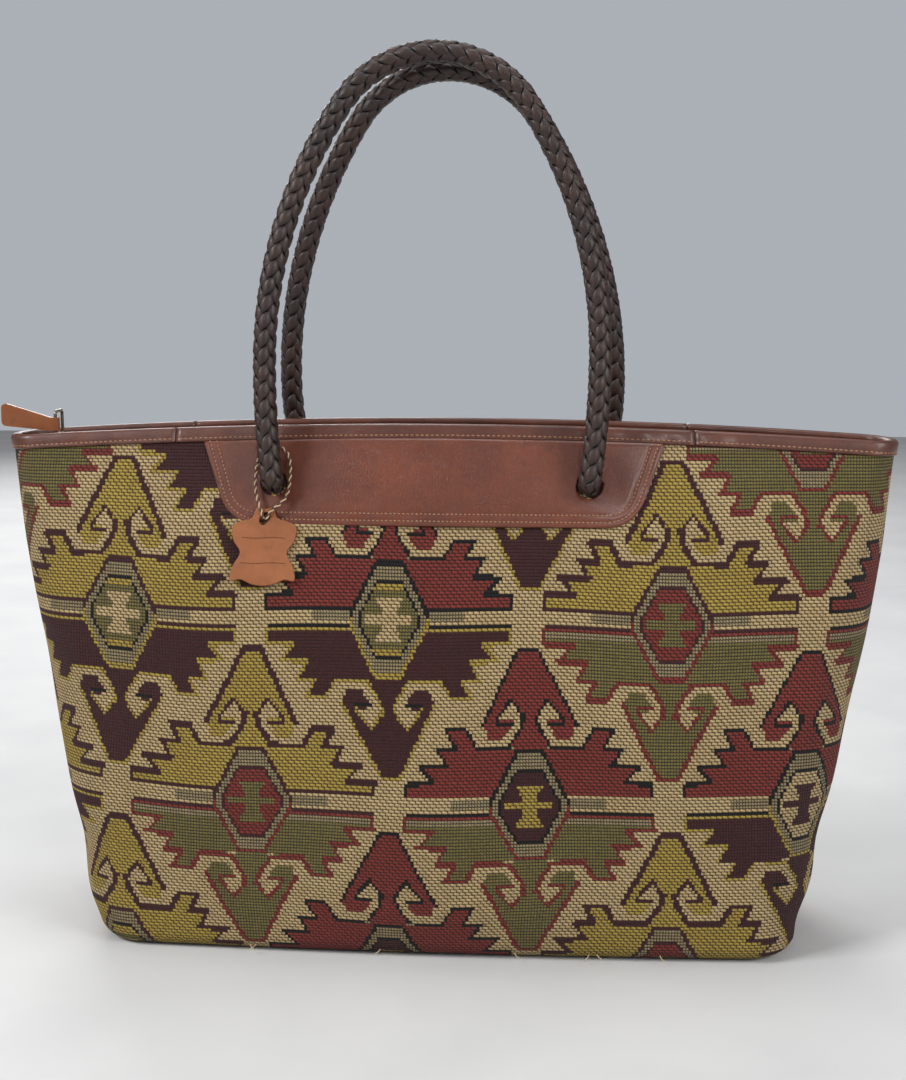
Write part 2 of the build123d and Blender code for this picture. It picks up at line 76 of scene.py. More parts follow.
class Section:
    """Front, corner and end arcs of the horizontal section at the heights z."""

    def __init__(self, z):
        z = np.asarray(z, float)
        a, b = through_three(z, WIDTHS) / 2, through_three(z, DEPTHS) / 2
        self.corner = through_three(z, CORNERS)
        crown, bow = through_three(z, FRONT_CROWNS), through_three(z, END_CROWNS)
        self.corner_x = a - self.corner - bow
        self.corner_y = crown + self.corner - b
        self.front = (self.corner_x**2 + (self.corner + crown) ** 2 - self.corner**2) / (2 * crown)
        self.end = (self.corner_y**2 + (self.corner + bow) ** 2 - self.corner**2) / (2 * bow)
        self.front_y, self.end_x = self.front - b, a - self.end
        self.turn_front = np.arctan2(self.corner_y - self.front_y, self.corner_x)
        self.turn_end = np.arctan2(self.corner_y, self.corner_x - self.end_x)
        self.front_length = self.front * (self.turn_front + math.pi / 2)
        self.corner_length = self.corner * (self.turn_end - self.turn_front)
        self.half_girth = self.front_length + self.corner_length - self.end * self.turn_end

    def place(self, s, inset=0.0):
        """Points and outward normals at the arc distance s from the middle of the front."""
        run = np.abs(s)
        on_front = run <= self.front_length
        on_corner = run <= self.front_length + self.corner_length
        angle_front = -math.pi / 2 + run / self.front
        angle_corner = self.turn_front + (run - self.front_length) / self.corner
        angle_end = self.turn_end + (run - self.front_length - self.corner_length) / self.end
        angle = np.where(on_front, angle_front, np.where(on_corner, angle_corner, angle_end))
        radius = np.where(on_front, self.front, np.where(on_corner, self.corner, self.end)) - inset
        cx = np.where(on_front, 0.0, np.where(on_corner, self.corner_x, self.end_x))
        cy = np.where(on_front, self.front_y, np.where(on_corner, self.corner_y, 0.0))
        normal = np.stack([np.cos(angle), np.sin(angle)], -1)
        point = np.stack([cx, cy], -1) + normal * radius[..., None]
        side = np.where(s < 0, -1.0, 1.0)
        point[..., 0] *= side
        normal[..., 0] *= side
        return point, normal


def rim_height(x):
    """Height of the arched raw edge of the cloth above x."""
    reach = HALF_RIM + 20
    sag = RIM_DIP * (reach / HALF_RIM) ** 2
    radius = (reach**2 + sag**2) / (2 * sag)
    return HEIGHT - radius + np.sqrt(radius**2 - np.asarray(x, float) ** 2)


def give(s, z):
    """How far the cloth stands out from its even form, from slack in the panels and tucks at the corners."""
    s, z = np.asarray(s, float), np.asarray(z, float)
    fade_rim = np.clip((HEIGHT - 12 - z) / 50, 0, 1)
    fade_foot = np.clip(z / 25, 0, 1)
    soft = 1.1 * np.sin(s / 61 + 0.7) * np.sin(z / 47 + 0.4) + 0.7 * np.sin(s / 29 - z / 53 + 2.1)
    near_corner = np.exp(-(((np.abs(s) - 196) / 32) ** 2))
    tucks = 1.6 * near_corner * np.exp(-z / 60) * np.sin(z / 7.5 + s / 23) * np.clip(z / 12, 0, 1)
    side_folds = 1.3 * near_corner * np.sin(z / 13 + 1.3 * np.sin(s / 17)) * np.exp(-(((z - 120) / 70) ** 2))
    return (0.9 + soft) * fade_rim * fade_foot + tucks + side_folds


def on_bag(s, z, stand, side=-1, inset=0.0, slack=True):
    """Points at stand off the cloth at arc distance s and height z; side is -1 in front, 1 behind."""
    section = Section(z)
    point, normal = section.place(s, inset)
    out = stand + (give(s, z) if slack else 0.0)
    step = 1.0
    above, below = Section(z + step).place(s, inset)[0], Section(z - step).place(s, inset)[0]
    rise = above - below
    lean = np.arctan2(-(rise * normal).sum(-1), 2 * step)
    shape = point[..., 0] + 0 * lean
    xyz = np.stack([shape, point[..., 1], np.broadcast_to(z, shape.shape) + 0.0], -1)
    xyz[..., :2] += normal * (out * np.cos(lean))[..., None]
    xyz[..., 2] += out * np.sin(lean)
    xyz[..., 1] *= -side
    return xyz


def s_at(x, z):
    """Arc distance of the point of the front whose sideways place is x, where the front arc reaches."""
    section = Section(z)
    return section.front * np.arcsin(np.asarray(x, float) / section.front)


def beside(x, z, stand, side=-1):
    """Point at stand off the even form of the cloth, above the sideways place x and at height z."""
    return on_bag(s_at(x, z), z, stand, side, slack=False)


def linear(red, green, blue):
    """Linear colour, with an alpha of 1, of an sRGB colour given from 0 to 255."""
    shares = (red / 255, green / 255, blue / 255)
    return tuple(c / 12.92 if c <= 0.04045 else ((c + 0.055) / 1.055) ** 2.4 for c in shares) + (1,)


def link(name, data):
    """New object of the data, linked to the scene."""
    obj = bpy.data.objects.new(name, data)
    bpy.context.scene.collection.objects.link(obj)
    return obj


def ring_angles(count):
    """Angles of the points round a tube, as a row."""
    return np.linspace(0, 2 * math.pi, count, endpoint=False)[None, :]


def new_mesh(name, points, faces, uv=None, colors=None, smooth=True):
    """Object of a mesh with points in millimetres, and face-corner uv and colours where given."""
    mesh = bpy.data.meshes.new(name)
    mesh.from_pydata((np.asarray(points) * MM).tolist(), [], [list(face) for face in faces])
    if uv is not None:
        layer = mesh.uv_layers.new(name="UVMap")
        layer.data.foreach_set("uv", np.asarray(uv, np.float32).ravel())
    if colors is not None:
        layer = mesh.color_attributes.new("Yarn", "FLOAT_COLOR", "CORNER")
        layer.data.foreach_set("color", np.asarray(colors, np.float32).ravel())
    mesh.polygons.foreach_set("use_smooth", [smooth] * len(mesh.polygons))
    mesh.update()
    return link(name, mesh)


def grid_faces(rows, columns, closed=False):
    """Quads of a grid of points, as an array of corner numbers."""
    r, c = np.meshgrid(np.arange(rows - 1), np.arange(columns if closed else columns - 1), indexing="ij")
    right, low, high = (c + 1) % columns, r * columns, (r + 1) * columns
    return np.stack([low + c, low + right, high + right, high + c], -1)


# Pattern: outlines in the pattern's own units, x to the right and y up from the middle of a medallion
PATTERN_X, PATTERN_Y = 0.502, 0.495
COLUMN_SPACING, ROW_SPACING = 141.0, 92.0
FIRST_COLUMN, FIRST_ROW = -25.0, 176.5

YARNS = {
    "cream": (214, 188, 138),
    "yellow": (190, 164, 76),
    "red": (143, 58, 50),
    "maroon": (78, 36, 38),
    "olive": (140, 128, 72),
    "grey": (176, 158, 118),
    "black": (24, 17, 15),
}

# Half shapes of one medallion, for x above 0; the lower half of the medallion repeats them upside down
ARROW = [(-0.1, 157), (9, 157), (47, 84), (46, 68), (15, 57), (-0.1, 57)]
WING = [
    (14, 57), (54, 59), (66, 79), (84, 79), (73, 60), (93, 58), (84, 43), (110, 41),
    (98, 25), (124, 23), (124, 11), (37, 11),
]
VOLUTE = [
    (70, 77), (63, 76), (53, 60), (22, 60), (7, 86), (10, 98), (18, 108), (27, 97), (32, 92),
    (32, 88), (17, 86), (20, 78), (27, 69), (42, 70), (47, 84), (56, 90), (70, 90),
]
EYE_BAR = [(18, 84), (33, 84)]
VOLUTE_EDGE = [(5, 92), (9, 79), (21, 60), (53, 59), (64, 78), (84, 78), (74, 59), (93, 59)]
EYE = [(27, 69), (42, 69), (46, 84), (38, 94), (31, 88), (22, 82)]
HOOK_EDGE = [(7, 88), (11, 98), (18, 107), (27, 96), (32, 89), (33, 84)]
ARROW_EDGE = [(-0.1, 157), (9, 157), (47, 82)]
TEETH = [((83, 42), (111, 41)), ((97, 25), (124, 24))]
TEETH_EDGE = [(92, 58), (84, 43), (110, 41), (97, 26), (124, 24), (124, 11), (37, 11)]
HEXAGON = [(-0.1, 57), (14, 57), (41, 6), (41, -6), (14, -57), (-0.1, -57)]
HEXAGON_BORDER = [(-0.1, 53), (12, 53), (37, 5), (37, -5), (12, -53), (-0.1, -53)]
HEXAGON_LINE = [(-0.1, 39), (12, 39), (31.5, 4), (31.5, -5), (12, -39), (-0.1, -39)]
HEXAGON_FIELD = [(-0.1, 35.5), (11.5, 35.5), (29, 4), (29, -5), (11.5, -35.5), (-0.1, -35.5)]
CROSS = [(-0.1, 21), (14, 21), (7, 9), (7, 4), (24, 4), (24, -4), (7, -4), (7, -9), (14, -21), (-0.1, -21)]

# Top, bottom, middle and cross colours of the medallions of each row, repeated round the bag
YELLOW_MAROON = ("yellow", "maroon", "olive", "cream")
RED_MAROON = ("red", "maroon", "olive", "cream")
RED_MAROON_PALE = ("red", "maroon", "cream", "maroon")
YELLOW_OLIVE = ("yellow", "olive", "red", "olive")
RED_OLIVE = ("red", "olive", "maroon", "yellow")
MEDALLIONS = {
    1: (YELLOW_MAROON, RED_MAROON, YELLOW_OLIVE, RED_OLIVE),
    0: (YELLOW_MAROON, RED_MAROON, YELLOW_OLIVE, RED_OLIVE),
    -1: (YELLOW_OLIVE, RED_OLIVE, RED_MAROON_PALE, YELLOW_MAROON),
    -2: (YELLOW_MAROON, RED_OLIVE, YELLOW_OLIVE, RED_MAROON),
}
EDGES = {"yellow": ("maroon", 5.5), "red": ("black", 3.0), "olive": ("red", 4.5), "maroon": ("yellow", 3.0)}


def inside(x, y, outline):
    """Which points lie inside a closed outline."""
    found = np.zeros(x.shape, bool)
    for (ax, ay), (bx, by) in zip(outline, outline[1:] + outline[:1]):
        if ay == by:
            continue
        crosses = (ay > y) != (by > y)
        found ^= crosses & (x < ax + (y - ay) * (bx - ax) / (by - ay))
    return found


def near_line(x, y, line, width):
    """Which points lie within half of width of a chain of points."""
    found = np.zeros(x.shape, bool)
    for (ax, ay), (bx, by) in zip(line, line[1:]):
        dx, dy = bx - ax, by - ay
        share = np.clip(((x - ax) * dx + (y - ay) * dy) / (dx * dx + dy * dy), 0, 1)
        found |= np.hypot(x - ax - share * dx, y - ay - share * dy) < width / 2
    return found


def paint_medallion(yarn, index, x, y, colors):
    """Give the cells that one medallion covers their yarn; x and y are pattern units from its middle."""
    top, bottom, middle, cross = colors
    x = np.abs(x)

    def fill(yarn_name, cells):
        yarn[index[cells]] = yarn_name

    for half, color in ((1, top), (-1, bottom)):
        up = y * half
        edge, width = EDGES[color]
        thin = min(width, 3.4)
        shape = inside(x, up, WING) | inside(x, up, ARROW)
        fill(color, shape)
        if color == "olive":
            fill("grey", inside(x, up, WING) & (up < 18) & (up > 13))
        fill("cream", inside(x, up, VOLUTE))
        fill(color, inside(x, up, EYE))
        if color == "red":
            fill("grey", near_line(x, up, VOLUTE_EDGE, 7.0) & (up < 60) & ~inside(x, up, WING))
        fill(edge, near_line(x, up, VOLUTE_EDGE, width))
        fill(edge, near_line(x, up, ARROW_EDGE, width))
        fill(edge, near_line(x, up, HOOK_EDGE, thin))
        fill(edge, near_line(x, up, TEETH_EDGE, thin))
        fill("black" if color == "maroon" else edge, near_line(x, up, EYE_BAR, 3.4))
        for tooth in TEETH:
            fill(edge, near_line(x, up, tooth, width + 1.0))
        fill("cream", (x > 41) & (x < 130) & (up > -3) & (up < 9))
    fill("grey", (x > 39) & (x < 78) & (y > -3) & (y < 9))
    fill(EDGES[top][0], (x > 39) & (x < 124) & (y > 9.5) & (y < 12.5))
    fill("black" if top == "red" else "maroon", (x > 39) & (x < 125) & (y > -8) & (y < -4.2))
    fill(EDGES[bottom][0], (x > 39) & (x < 124) & (y > -12.5) & (y < -9.5))
    fill("maroon" if top == "yellow" else "black", inside(x, y, HEXAGON) & (y > 0))
    fill("yellow" if bottom == "maroon" else "red", inside(x, y, HEXAGON) & (y <= 0))
    fill("grey", inside(x, y, HEXAGON_BORDER))
    fill("maroon" if middle == "red" else "black", inside(x, y, HEXAGON_LINE))
    fill(middle, inside(x, y, HEXAGON_FIELD))
    if middle == "olive":
        fill("yellow", inside(x, y, HEXAGON_FIELD) & (np.abs(y) > 28))
    fill(cross, inside(x, y, CROSS))


def yarns_at(s, z, phase=0):
    """Name of the yarn at each cell; s is the cloth's arc distance and z its height."""
    flat_s, flat_z = s.ravel(), z.ravel()
    yarn = np.full(flat_s.shape, "cream", dtype="U12")
    reach_s, reach_z = 128 * PATTERN_X, 160 * PATTERN_Y
    for row, kinds in MEDALLIONS.items():
        middle_z = FIRST_ROW + row * ROW_SPACING
        shift = COLUMN_SPACING / 2 if row % 2 else 0.0
        first = int((flat_s.min() - FIRST_COLUMN) / COLUMN_SPACING) - 2
        last = int((flat_s.max() - FIRST_COLUMN) / COLUMN_SPACING) + 2
        for column in range(first, last):
            middle_s = FIRST_COLUMN + shift + column * COLUMN_SPACING
            near = (np.abs(flat_s - middle_s) < reach_s) & (np.abs(flat_z - middle_z) < reach_z)
            index = np.nonzero(near)[0]
            if not len(index):
                continue
            x = (flat_s[index] - middle_s) / PATTERN_X
            y = (flat_z[index] - middle_z) / PATTERN_Y
            paint_medallion(yarn, index, x, y, kinds[(column + 1 + phase) % 4])
    return yarn.reshape(s.shape)


def yarn_colors(yarn):
    """Colour of each cell. Alpha says how it is woven: 1 in floats, lower in plain weave, whose gaps get a
    darker painted shade.
    """
    weaves = {"cream": 1.0, "yellow": 1.0, "red": 1.0, "maroon": 0.6, "black": 0.6, "olive": 0.4, "grey": 0.2}
    colors = np.ones(yarn.shape + (4,))
    for name, alpha in weaves.items():
        colors[yarn == name, :3] = linear(*YARNS[name])[:3]
        colors[yarn == name, 3] = alpha
    colors[..., :3] *= 1 + noise.uniform(-0.10, 0.10, yarn.shape)[..., None]
    return colors


def tapestry_panel(name, side, node, phase=0):
    """One face of the bag as cloth cells in rows, round the toe and under the base."""
    toe_length = TOE * math.pi / 2
    start = TOE - toe_length - HEM
    row_count = int((HEIGHT - start) / ROW_PITCH)
    w = start + ROW_PITCH * np.arange(row_count + 1)
    w[-1] = HEIGHT
    turn = np.clip((TOE - w) / TOE, 0, math.pi / 2)
    z = np.where(w >= TOE, w, TOE * (1 - np.sin(turn)))
    inset = np.where(w >= TOE, 0.0, TOE * (1 - np.cos(turn))) + np.clip(TOE - toe_length - w, 0, HEM)
    girth = Section(z).half_girth
    half_columns = int(girth.max() / CELL_WIDTH) + 1
    column = np.arange(-half_columns, half_columns + 1)
    s = np.clip(column[None, :] * CELL_WIDTH, -girth[:, None], girth[:, None])
    zz = np.broadcast_to(z[:, None], s.shape).copy()
    x = Section(zz).place(s)[0][..., 0]
    zz = np.minimum(zz, rim_height(np.clip(x, -HALF_RIM, HALF_RIM)) - 0.4)
    from_end = girth[:, None] - np.abs(s)
    spare = np.clip((HEIGHT - 15 - zz) / 40, 0, 1) * np.clip(zz / 30, 0, 1) * np.clip(from_end / 30, 0, 1)
    warp_s = 0.9 * np.sin(zz / 33 + s / 71 + side) + 0.5 * np.sin(zz / 14 - s / 39)
    warp_z = 1.2 * np.sin(s / 44 + zz / 83 + side) + 0.6 * np.sin(s / 19 + 1.3 * side)
    points = on_bag(s + spare * warp_s, zz + spare * warp_z, 0.0, side, inset[:, None])
    rows, columns = s.shape
    faces = grid_faces(rows, columns)
    ii, jj = np.meshgrid(np.arange(rows - 1), np.arange(columns - 1), indexing="ij")
    wide = np.maximum(s[1:, 1:] - s[1:, :-1], s[:-1, 1:] - s[:-1, :-1]) > 1e-6
    tall = np.maximum(zz[1:, 1:] - zz[:-1, 1:], zz[1:, :-1] - zz[:-1, :-1]) > 1e-6
    keep = wide & (tall | (ii * ROW_PITCH < toe_length + HEM))
    middle_s = (column[:-1] + 0.5) * CELL_WIDTH
    cell_s, cell_w = np.meshgrid(middle_s, w[:-1] + ROW_PITCH / 2)
    yarn = yarns_at(cell_s, cell_w, phase)
    colors = np.repeat(yarn_colors(yarn)[keep][:, None, :], 4, axis=1)
    across, up = np.meshgrid(column * CELL_WIDTH * MM, w * MM)
    uv = np.stack([across, up], -1).reshape(-1, 2)
    kept = faces[keep]
    if side > 0:
        kept = kept[:, ::-1]
    obj = new_mesh(name, points.reshape(-1, 3), kept.tolist(), uv[kept].reshape(-1, 2), colors.reshape(-1, 4))
    mesh = bmesh.new()
    mesh.from_mesh(obj.data)
    bmesh.ops.remove_doubles(mesh, verts=mesh.verts, dist=1e-6)
    bmesh.ops.dissolve_degenerate(mesh, edges=mesh.edges, dist=1e-7)
    mesh.to_mesh(obj.data)
    mesh.free()
    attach(obj, "bag")
    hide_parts(node)
    return obj


class Nodes:
    """A material's node tree, with short calls for adding and linking nodes."""

    def __init__(self, name):
        self.material = bpy.data.materials.new(name)
        self.material.use_nodes = True
        self.tree = self.material.node_tree
        self.shader = self.tree.nodes["Principled BSDF"]

    def add(self, kind, inputs=(), **settings):
        node = self.tree.nodes.new(kind)
        for key, value in settings.items():
            setattr(node, key, value)
        for key, value in dict(inputs).items():
            self.put(node.inputs[key], value)
        return node

    def put(self, socket, value):
        if isinstance(value, bpy.types.NodeSocket):
            self.tree.links.new(value, socket)
        else:
            socket.default_value = value

    def place(self):
        return self.add("ShaderNodeTexCoord").outputs["Object"]

    def math(self, operation, a, b=0.0, clamp=False):
        return self.add("ShaderNodeMath", {0: a, 1: b}, operation=operation, use_clamp=clamp).outputs[0]

    def mix(self, share, a, b, blend="MIX"):
        node = self.add("ShaderNodeMix", data_type="RGBA", blend_type=blend)
        self.put(node.inputs[0], share)
        self.put(node.inputs[6], a)
        self.put(node.inputs[7], b)
        return node.outputs[2]

    def noise(self, scale, detail=2.0, vector=None, roughness=0.5):
        node = self.add("ShaderNodeTexNoise", {"Scale": scale, "Detail": detail, "Roughness": roughness})
        if vector is not None:
            self.put(node.inputs["Vector"], vector)
        return node.outputs["Fac"]

    def span(self, value, low, high, to_low=0.0, to_high=1.0):
        keys = {"Value": value, "From Min": low, "From Max": high, "To Min": to_low, "To Max": to_high}
        return self.add("ShaderNodeMapRange", keys).outputs["Result"]

    def bump(self, height, distance, strength=1.0):
        node = self.add("ShaderNodeBump", {"Height": height, "Distance": distance, "Strength": strength})
        self.put(self.shader.inputs["Normal"], node.outputs["Normal"])
        return node

    def finish(self, **values):
        names = {"color": "Base Color", "rough": "Roughness", "metal": "Metallic", "coat": "Coat Weight"}
        names.update(coat_rough="Coat Roughness", sheen="Sheen Weight", sheen_rough="Sheen Roughness")
        names["specular"] = "Specular IOR Level"
        for key, value in values.items():
            self.put(self.shader.inputs[names[key]], value)
        return self.material


# Painted shade in the gaps between floats and in the gaps of the softer and the plain weave; tints of worn
# fibres and of soil
FLOAT_GAP_SHADE = (0.16, 0.11, 0.075, 1)
SOFT_GAP_SHADE = (0.42, 0.35, 0.30, 1)
PLAIN_GAP_SHADE = (0.018, 0.014, 0.009, 1)
WORN_TINT = (0.62, 0.56, 0.48, 1)
SOIL_TINT = (0.70, 0.62, 0.53, 1)


def tapestry_material():
    """Woven cloth: brick-laid horizontal floats where the yarn's alpha is 1, else a plain weave, with painted
    shade in the gaps.
    """
    m = Nodes("tapestry")
    yarn = m.add("ShaderNodeVertexColor", layer_name="Yarn")
    split = m.add("ShaderNodeSeparateXYZ", {0: m.add("ShaderNodeUVMap", uv_map="UVMap").outputs[0]})
    wander = m.math("MULTIPLY", m.math("SUBTRACT", m.noise(900.0, 1.0), 0.5), 0.35)
    row_at = m.math("DIVIDE", split.outputs[1], ROW_PITCH * MM)
    first = (TOE - TOE * math.pi / 2 - HEM) / ROW_PITCH
    row = m.math("ADD", row_at, -first)
    odd = m.math("FLOORED_MODULO", m.math("FLOOR", row), 2.0)
    column = m.math("DIVIDE", split.outputs[0], CELL_WIDTH * MM)

    def cell(width, share_of_row):
        across = m.math("ADD", m.math("DIVIDE", column, width), m.math("MULTIPLY", odd, share_of_row))
        across = m.math("FRACT", m.math("ADD", across, wander))
        slant = m.math("MULTIPLY", m.math("SUBTRACT", across, 0.5), 0.22)
        along = m.math("FRACT", m.math("ADD", row, slant))
        u = m.math("ABSOLUTE", m.math("SUBTRACT", m.math("MULTIPLY", across, 2.0), 1.0))
        v = m.math("ABSOLUTE", m.math("SUBTRACT", m.math("MULTIPLY", along, 2.0), 1.0))
        round_u = m.math("SUBTRACT", 1.0, m.math("POWER", u, 4.0))
        round_v = m.math("SUBTRACT", 1.0, m.math("POWER", v, 2.4))
        return m.math("MULTIPLY", round_u, round_v, clamp=True)

    alpha = yarn.outputs["Alpha"]
    is_float = m.math("GREATER_THAN", alpha, 0.8)
    weave = m.mix(is_float, cell(1.0, 0.0), cell(2.0, 0.5))
    fibres = m.noise(4200.0, 3.0)
    own = yarn.outputs["Color"]
    # Painted shade: the yarn's colour is darkened in the gaps between floats and threads, where the weave's
    # height is low; the softer weave gets a lighter painted shade
    shaded_float_gap = m.mix(1.0, own, FLOAT_GAP_SHADE, "MULTIPLY")
    soft = m.mix(1.0, own, SOFT_GAP_SHADE, "MULTIPLY")
    gap_shade = m.mix(m.math("LESS_THAN", alpha, 0.5), shaded_float_gap, PLAIN_GAP_SHADE)
    is_soft = m.math("MULTIPLY", m.math("GREATER_THAN", alpha, 0.5), m.math("LESS_THAN", alpha, 0.8))
    gap_shade = m.mix(is_soft, gap_shade, soft)
    edge = m.span(alpha, 0.2, 1.0, 0.95, 0.68)
    shown = m.span(weave, 0.14, edge)
    color = m.mix(shown, gap_shade, own)
    worn = m.mix(1.0, color, WORN_TINT, "MULTIPLY")
    color = m.mix(m.span(fibres, 0.3, 0.75, 0.0, 0.5), color, worn)
    soiled = m.mix(1.0, color, SOIL_TINT, "MULTIPLY")
    color = m.mix(m.span(m.noise(14.0, 4.0), 0.35, 0.75, 0.0, 0.35), color, soiled)
    height = m.math("ADD", weave, m.math("MULTIPLY", fibres, 0.35))
    m.bump(height, 0.0010, 1.0)
    return m.finish(color=color, rough=0.92, sheen=0.08, sheen_rough=0.6, specular=0.15)


tapestry = tapestry_material()
front = tapestry_panel("tapestry_front", -1, "front_panel")
back = tapestry_panel("tapestry_back", 1, "back_panel", phase=2)
for panel in (front, back):
    panel.data.materials.append(tapestry)


def add_piece(obj, body, material, nodes=()):
    """Ride, material and replaced nodes of a finished piece."""
    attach(obj, body)
    obj.data.materials.append(material)
    if nodes:
        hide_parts(*nodes)
    return obj


class Path:
    """A line of points with the length run along it and frames that don't twist."""

    def __init__(self, points, first_normal=(0, 0, 1)):
        self.points = np.asarray(points, float)
        self.run = np.concatenate([[0], np.cumsum(np.linalg.norm(np.diff(self.points, axis=0), axis=1))])
        self.length = self.run[-1]
        self.tangent = np.gradient(self.points, self.run, axis=0)
        self.tangent /= np.linalg.norm(self.tangent, axis=1)[:, None]
        normals = [np.asarray(first_normal, float)]
        for tangent in self.tangent:
            normal = normals[-1] - tangent * (normals[-1] @ tangent)
            normals.append(normal / np.linalg.norm(normal))
        self.normal = np.array(normals[1:])

    def pick(self, table, run):
        return np.stack([np.interp(run, self.run, table[:, axis]) for axis in range(3)], -1)

    def around(self, run, angle, radius):
        """Points beside the line; past its ends the line runs straight on."""
        near = np.clip(run, 0, self.length)
        tangent, normal = self.pick(self.tangent, near), self.pick(self.normal, near)
        binormal = np.cross(tangent, normal)
        middle = self.pick(self.points, near) + tangent * (run - near)[..., None]
        across = np.cos(angle)[..., None] * normal + np.sin(angle)[..., None] * binormal
        return middle + across * radius[..., None]


def join_meshes(parts):
    """One point list and one face list out of several."""
    points, faces, start = [], [], 0
    for some_points, some_faces in parts:
        some_points = np.asarray(some_points).reshape(-1, 3)
        points.append(some_points)
        faces.extend([[corner + start for corner in face] for face in some_faces])
        start += len(some_points)
    return np.concatenate(points), faces


def closed_tube(rings):
    """Points and faces of a tube through rings of points, with its ends closed."""
    rows, columns = rings.shape[:2]
    faces = grid_faces(rows, columns, closed=True).reshape(-1, 4).tolist()
    faces.append(list(range(columns))[::-1])
    faces.append(list(range((rows - 1) * columns, rows * columns)))
    return rings.reshape(-1, 3), faces


# Braid: six flat strands, three each way, over one and under one
BRAID_RADIUS, BRAID_PITCH, STRANDS = 6.2, 26.5, 3
STRAND_HALF_WIDTH, STRAND_HALF_THICKNESS, STRAND_CROWN = 3.4, 0.6, 0.4
STRAND_LIFT, STRAND_SQUARENESS, LIFT_SHARPNESS, CROSSING_SLANT, WRAP_INSET = 0.72, 0.6, 1.6, 0.45, 0.8
BRAID_MIDDLE = BRAID_RADIUS - STRAND_HALF_THICKNESS - STRAND_CROWN - STRAND_LIFT
BRAID_STEP, STRAND_SIDES = 1.35, 10


def braid(path, start, end, round_ends=True):
    """Points, faces and uv of the strands along a path from one length run to another."""
    run = np.linspace(start, end, int((end - start) / BRAID_STEP) + 2)[:, None]
    ring = ring_angles(STRAND_SIDES)
    across = STRAND_HALF_WIDTH * np.sign(np.cos(ring)) * np.abs(np.cos(ring)) ** STRAND_SQUARENESS
    wrap_radius = BRAID_RADIUS - WRAP_INSET
    slant = math.atan(2 * math.pi * wrap_radius / BRAID_PITCH)
    parts, uvs = [], []
    for hand in (1, -1):
        for strand in range(STRANDS):
            turn = hand * 2 * math.pi * (run / BRAID_PITCH + strand / STRANDS)
            angle = turn + across * math.cos(slant) / wrap_radius
            place = run - hand * across * math.sin(slant)
            wave = np.cos(STRANDS * (turn + CROSSING_SLANT * (angle - turn)))
            lift = hand * STRAND_LIFT * np.tanh(LIFT_SHARPNESS * wave) / math.tanh(LIFT_SHARPNESS)
            crown = STRAND_CROWN * (1 - (across / STRAND_HALF_WIDTH) ** 2)
            radius = BRAID_MIDDLE + lift + crown + STRAND_HALF_THICKNESS * np.sin(ring)
            if round_ends:
                past = np.clip(np.maximum(-place, place - path.length) / BRAID_RADIUS, 0, 0.995)
                radius = radius * np.sqrt(1 - past**2)
            radius = radius + 0.07 * np.sin(run * 1.7 + strand * 2 + hand)
            points, faces = closed_tube(path.around(place, angle, radius))
            parts.append((points, faces))
            share = np.broadcast_to(across / STRAND_HALF_WIDTH / 2 + 0.5, place.shape).reshape(-1)
            along = np.broadcast_to(run + 50 * strand + 200 * hand, place.shape).reshape(-1)
            uvs.append(np.stack([share, along * MM], -1))
    core_run = np.linspace(start + 1.2, end - 1.2, int((end - start) / 4) + 3)[:, None]
    core_ring = ring_angles(12) + 0 * core_run
    core_radius = np.full(core_ring.shape, BRAID_MIDDLE - 0.9)
    if round_ends:
        past = np.clip(np.maximum(-core_run, core_run - path.length) / BRAID_RADIUS, 0, 0.98)
        core_radius = core_radius * np.sqrt(1 - past**2)
    parts.append(closed_tube(path.around(core_run + 0 * core_ring, core_ring, core_radius)))
    # The core's uv of 0 gives it the near-black edge tone: painted shade inside the braid
    uvs.append(np.zeros((core_ring.size, 2)))
    points, faces = join_meshes(parts)
    return points, faces, np.concatenate(uvs)


def mesh_with_point_uv(name, points, faces, uv):
    """Object of a mesh whose uv is given by point."""
    corners = np.concatenate([np.asarray(face) for face in faces])
    return new_mesh(name, points, faces, uv=uv[corners])


def arc_through(a, b, c, steps):
    """Points on the circle arc from a through b to c, without the last."""
    (ax, ay), (bx, by), (cx, cy) = a, b, c
    d = 2 * (ax * (by - cy) + bx * (cy - ay) + cx * (ay - by))
    squares = ax * ax + ay * ay, bx * bx + by * by, cx * cx + cy * cy
    ux = (squares[0] * (by - cy) + squares[1] * (cy - ay) + squares[2] * (ay - by)) / d
    uy = (squares[0] * (cx - bx) + squares[1] * (ax - cx) + squares[2] * (bx - ax)) / d
    radius = math.hypot(ax - ux, ay - uy)
    first, middle, last = (math.atan2(y - uy, x - ux) for x, y in (a, b, c))
    sweep = (last - first + math.pi) % (2 * math.pi) - math.pi
    share = (middle - first + math.pi) % (2 * math.pi) - math.pi
    if share * sweep < 0:
        sweep -= math.copysign(2 * math.pi, sweep)
    angles = [first + sweep * k / steps for k in range(steps)]
    return [(ux + radius * math.cos(angle), uy + radius * math.sin(angle)) for angle in angles]


JOINTS = {joint["name"]: joint for joint in frame["joints"]}
CROWN_RADIUS, CROWN_TURN, HANDLE_GAP = 56.0, math.radians(57), 0.4


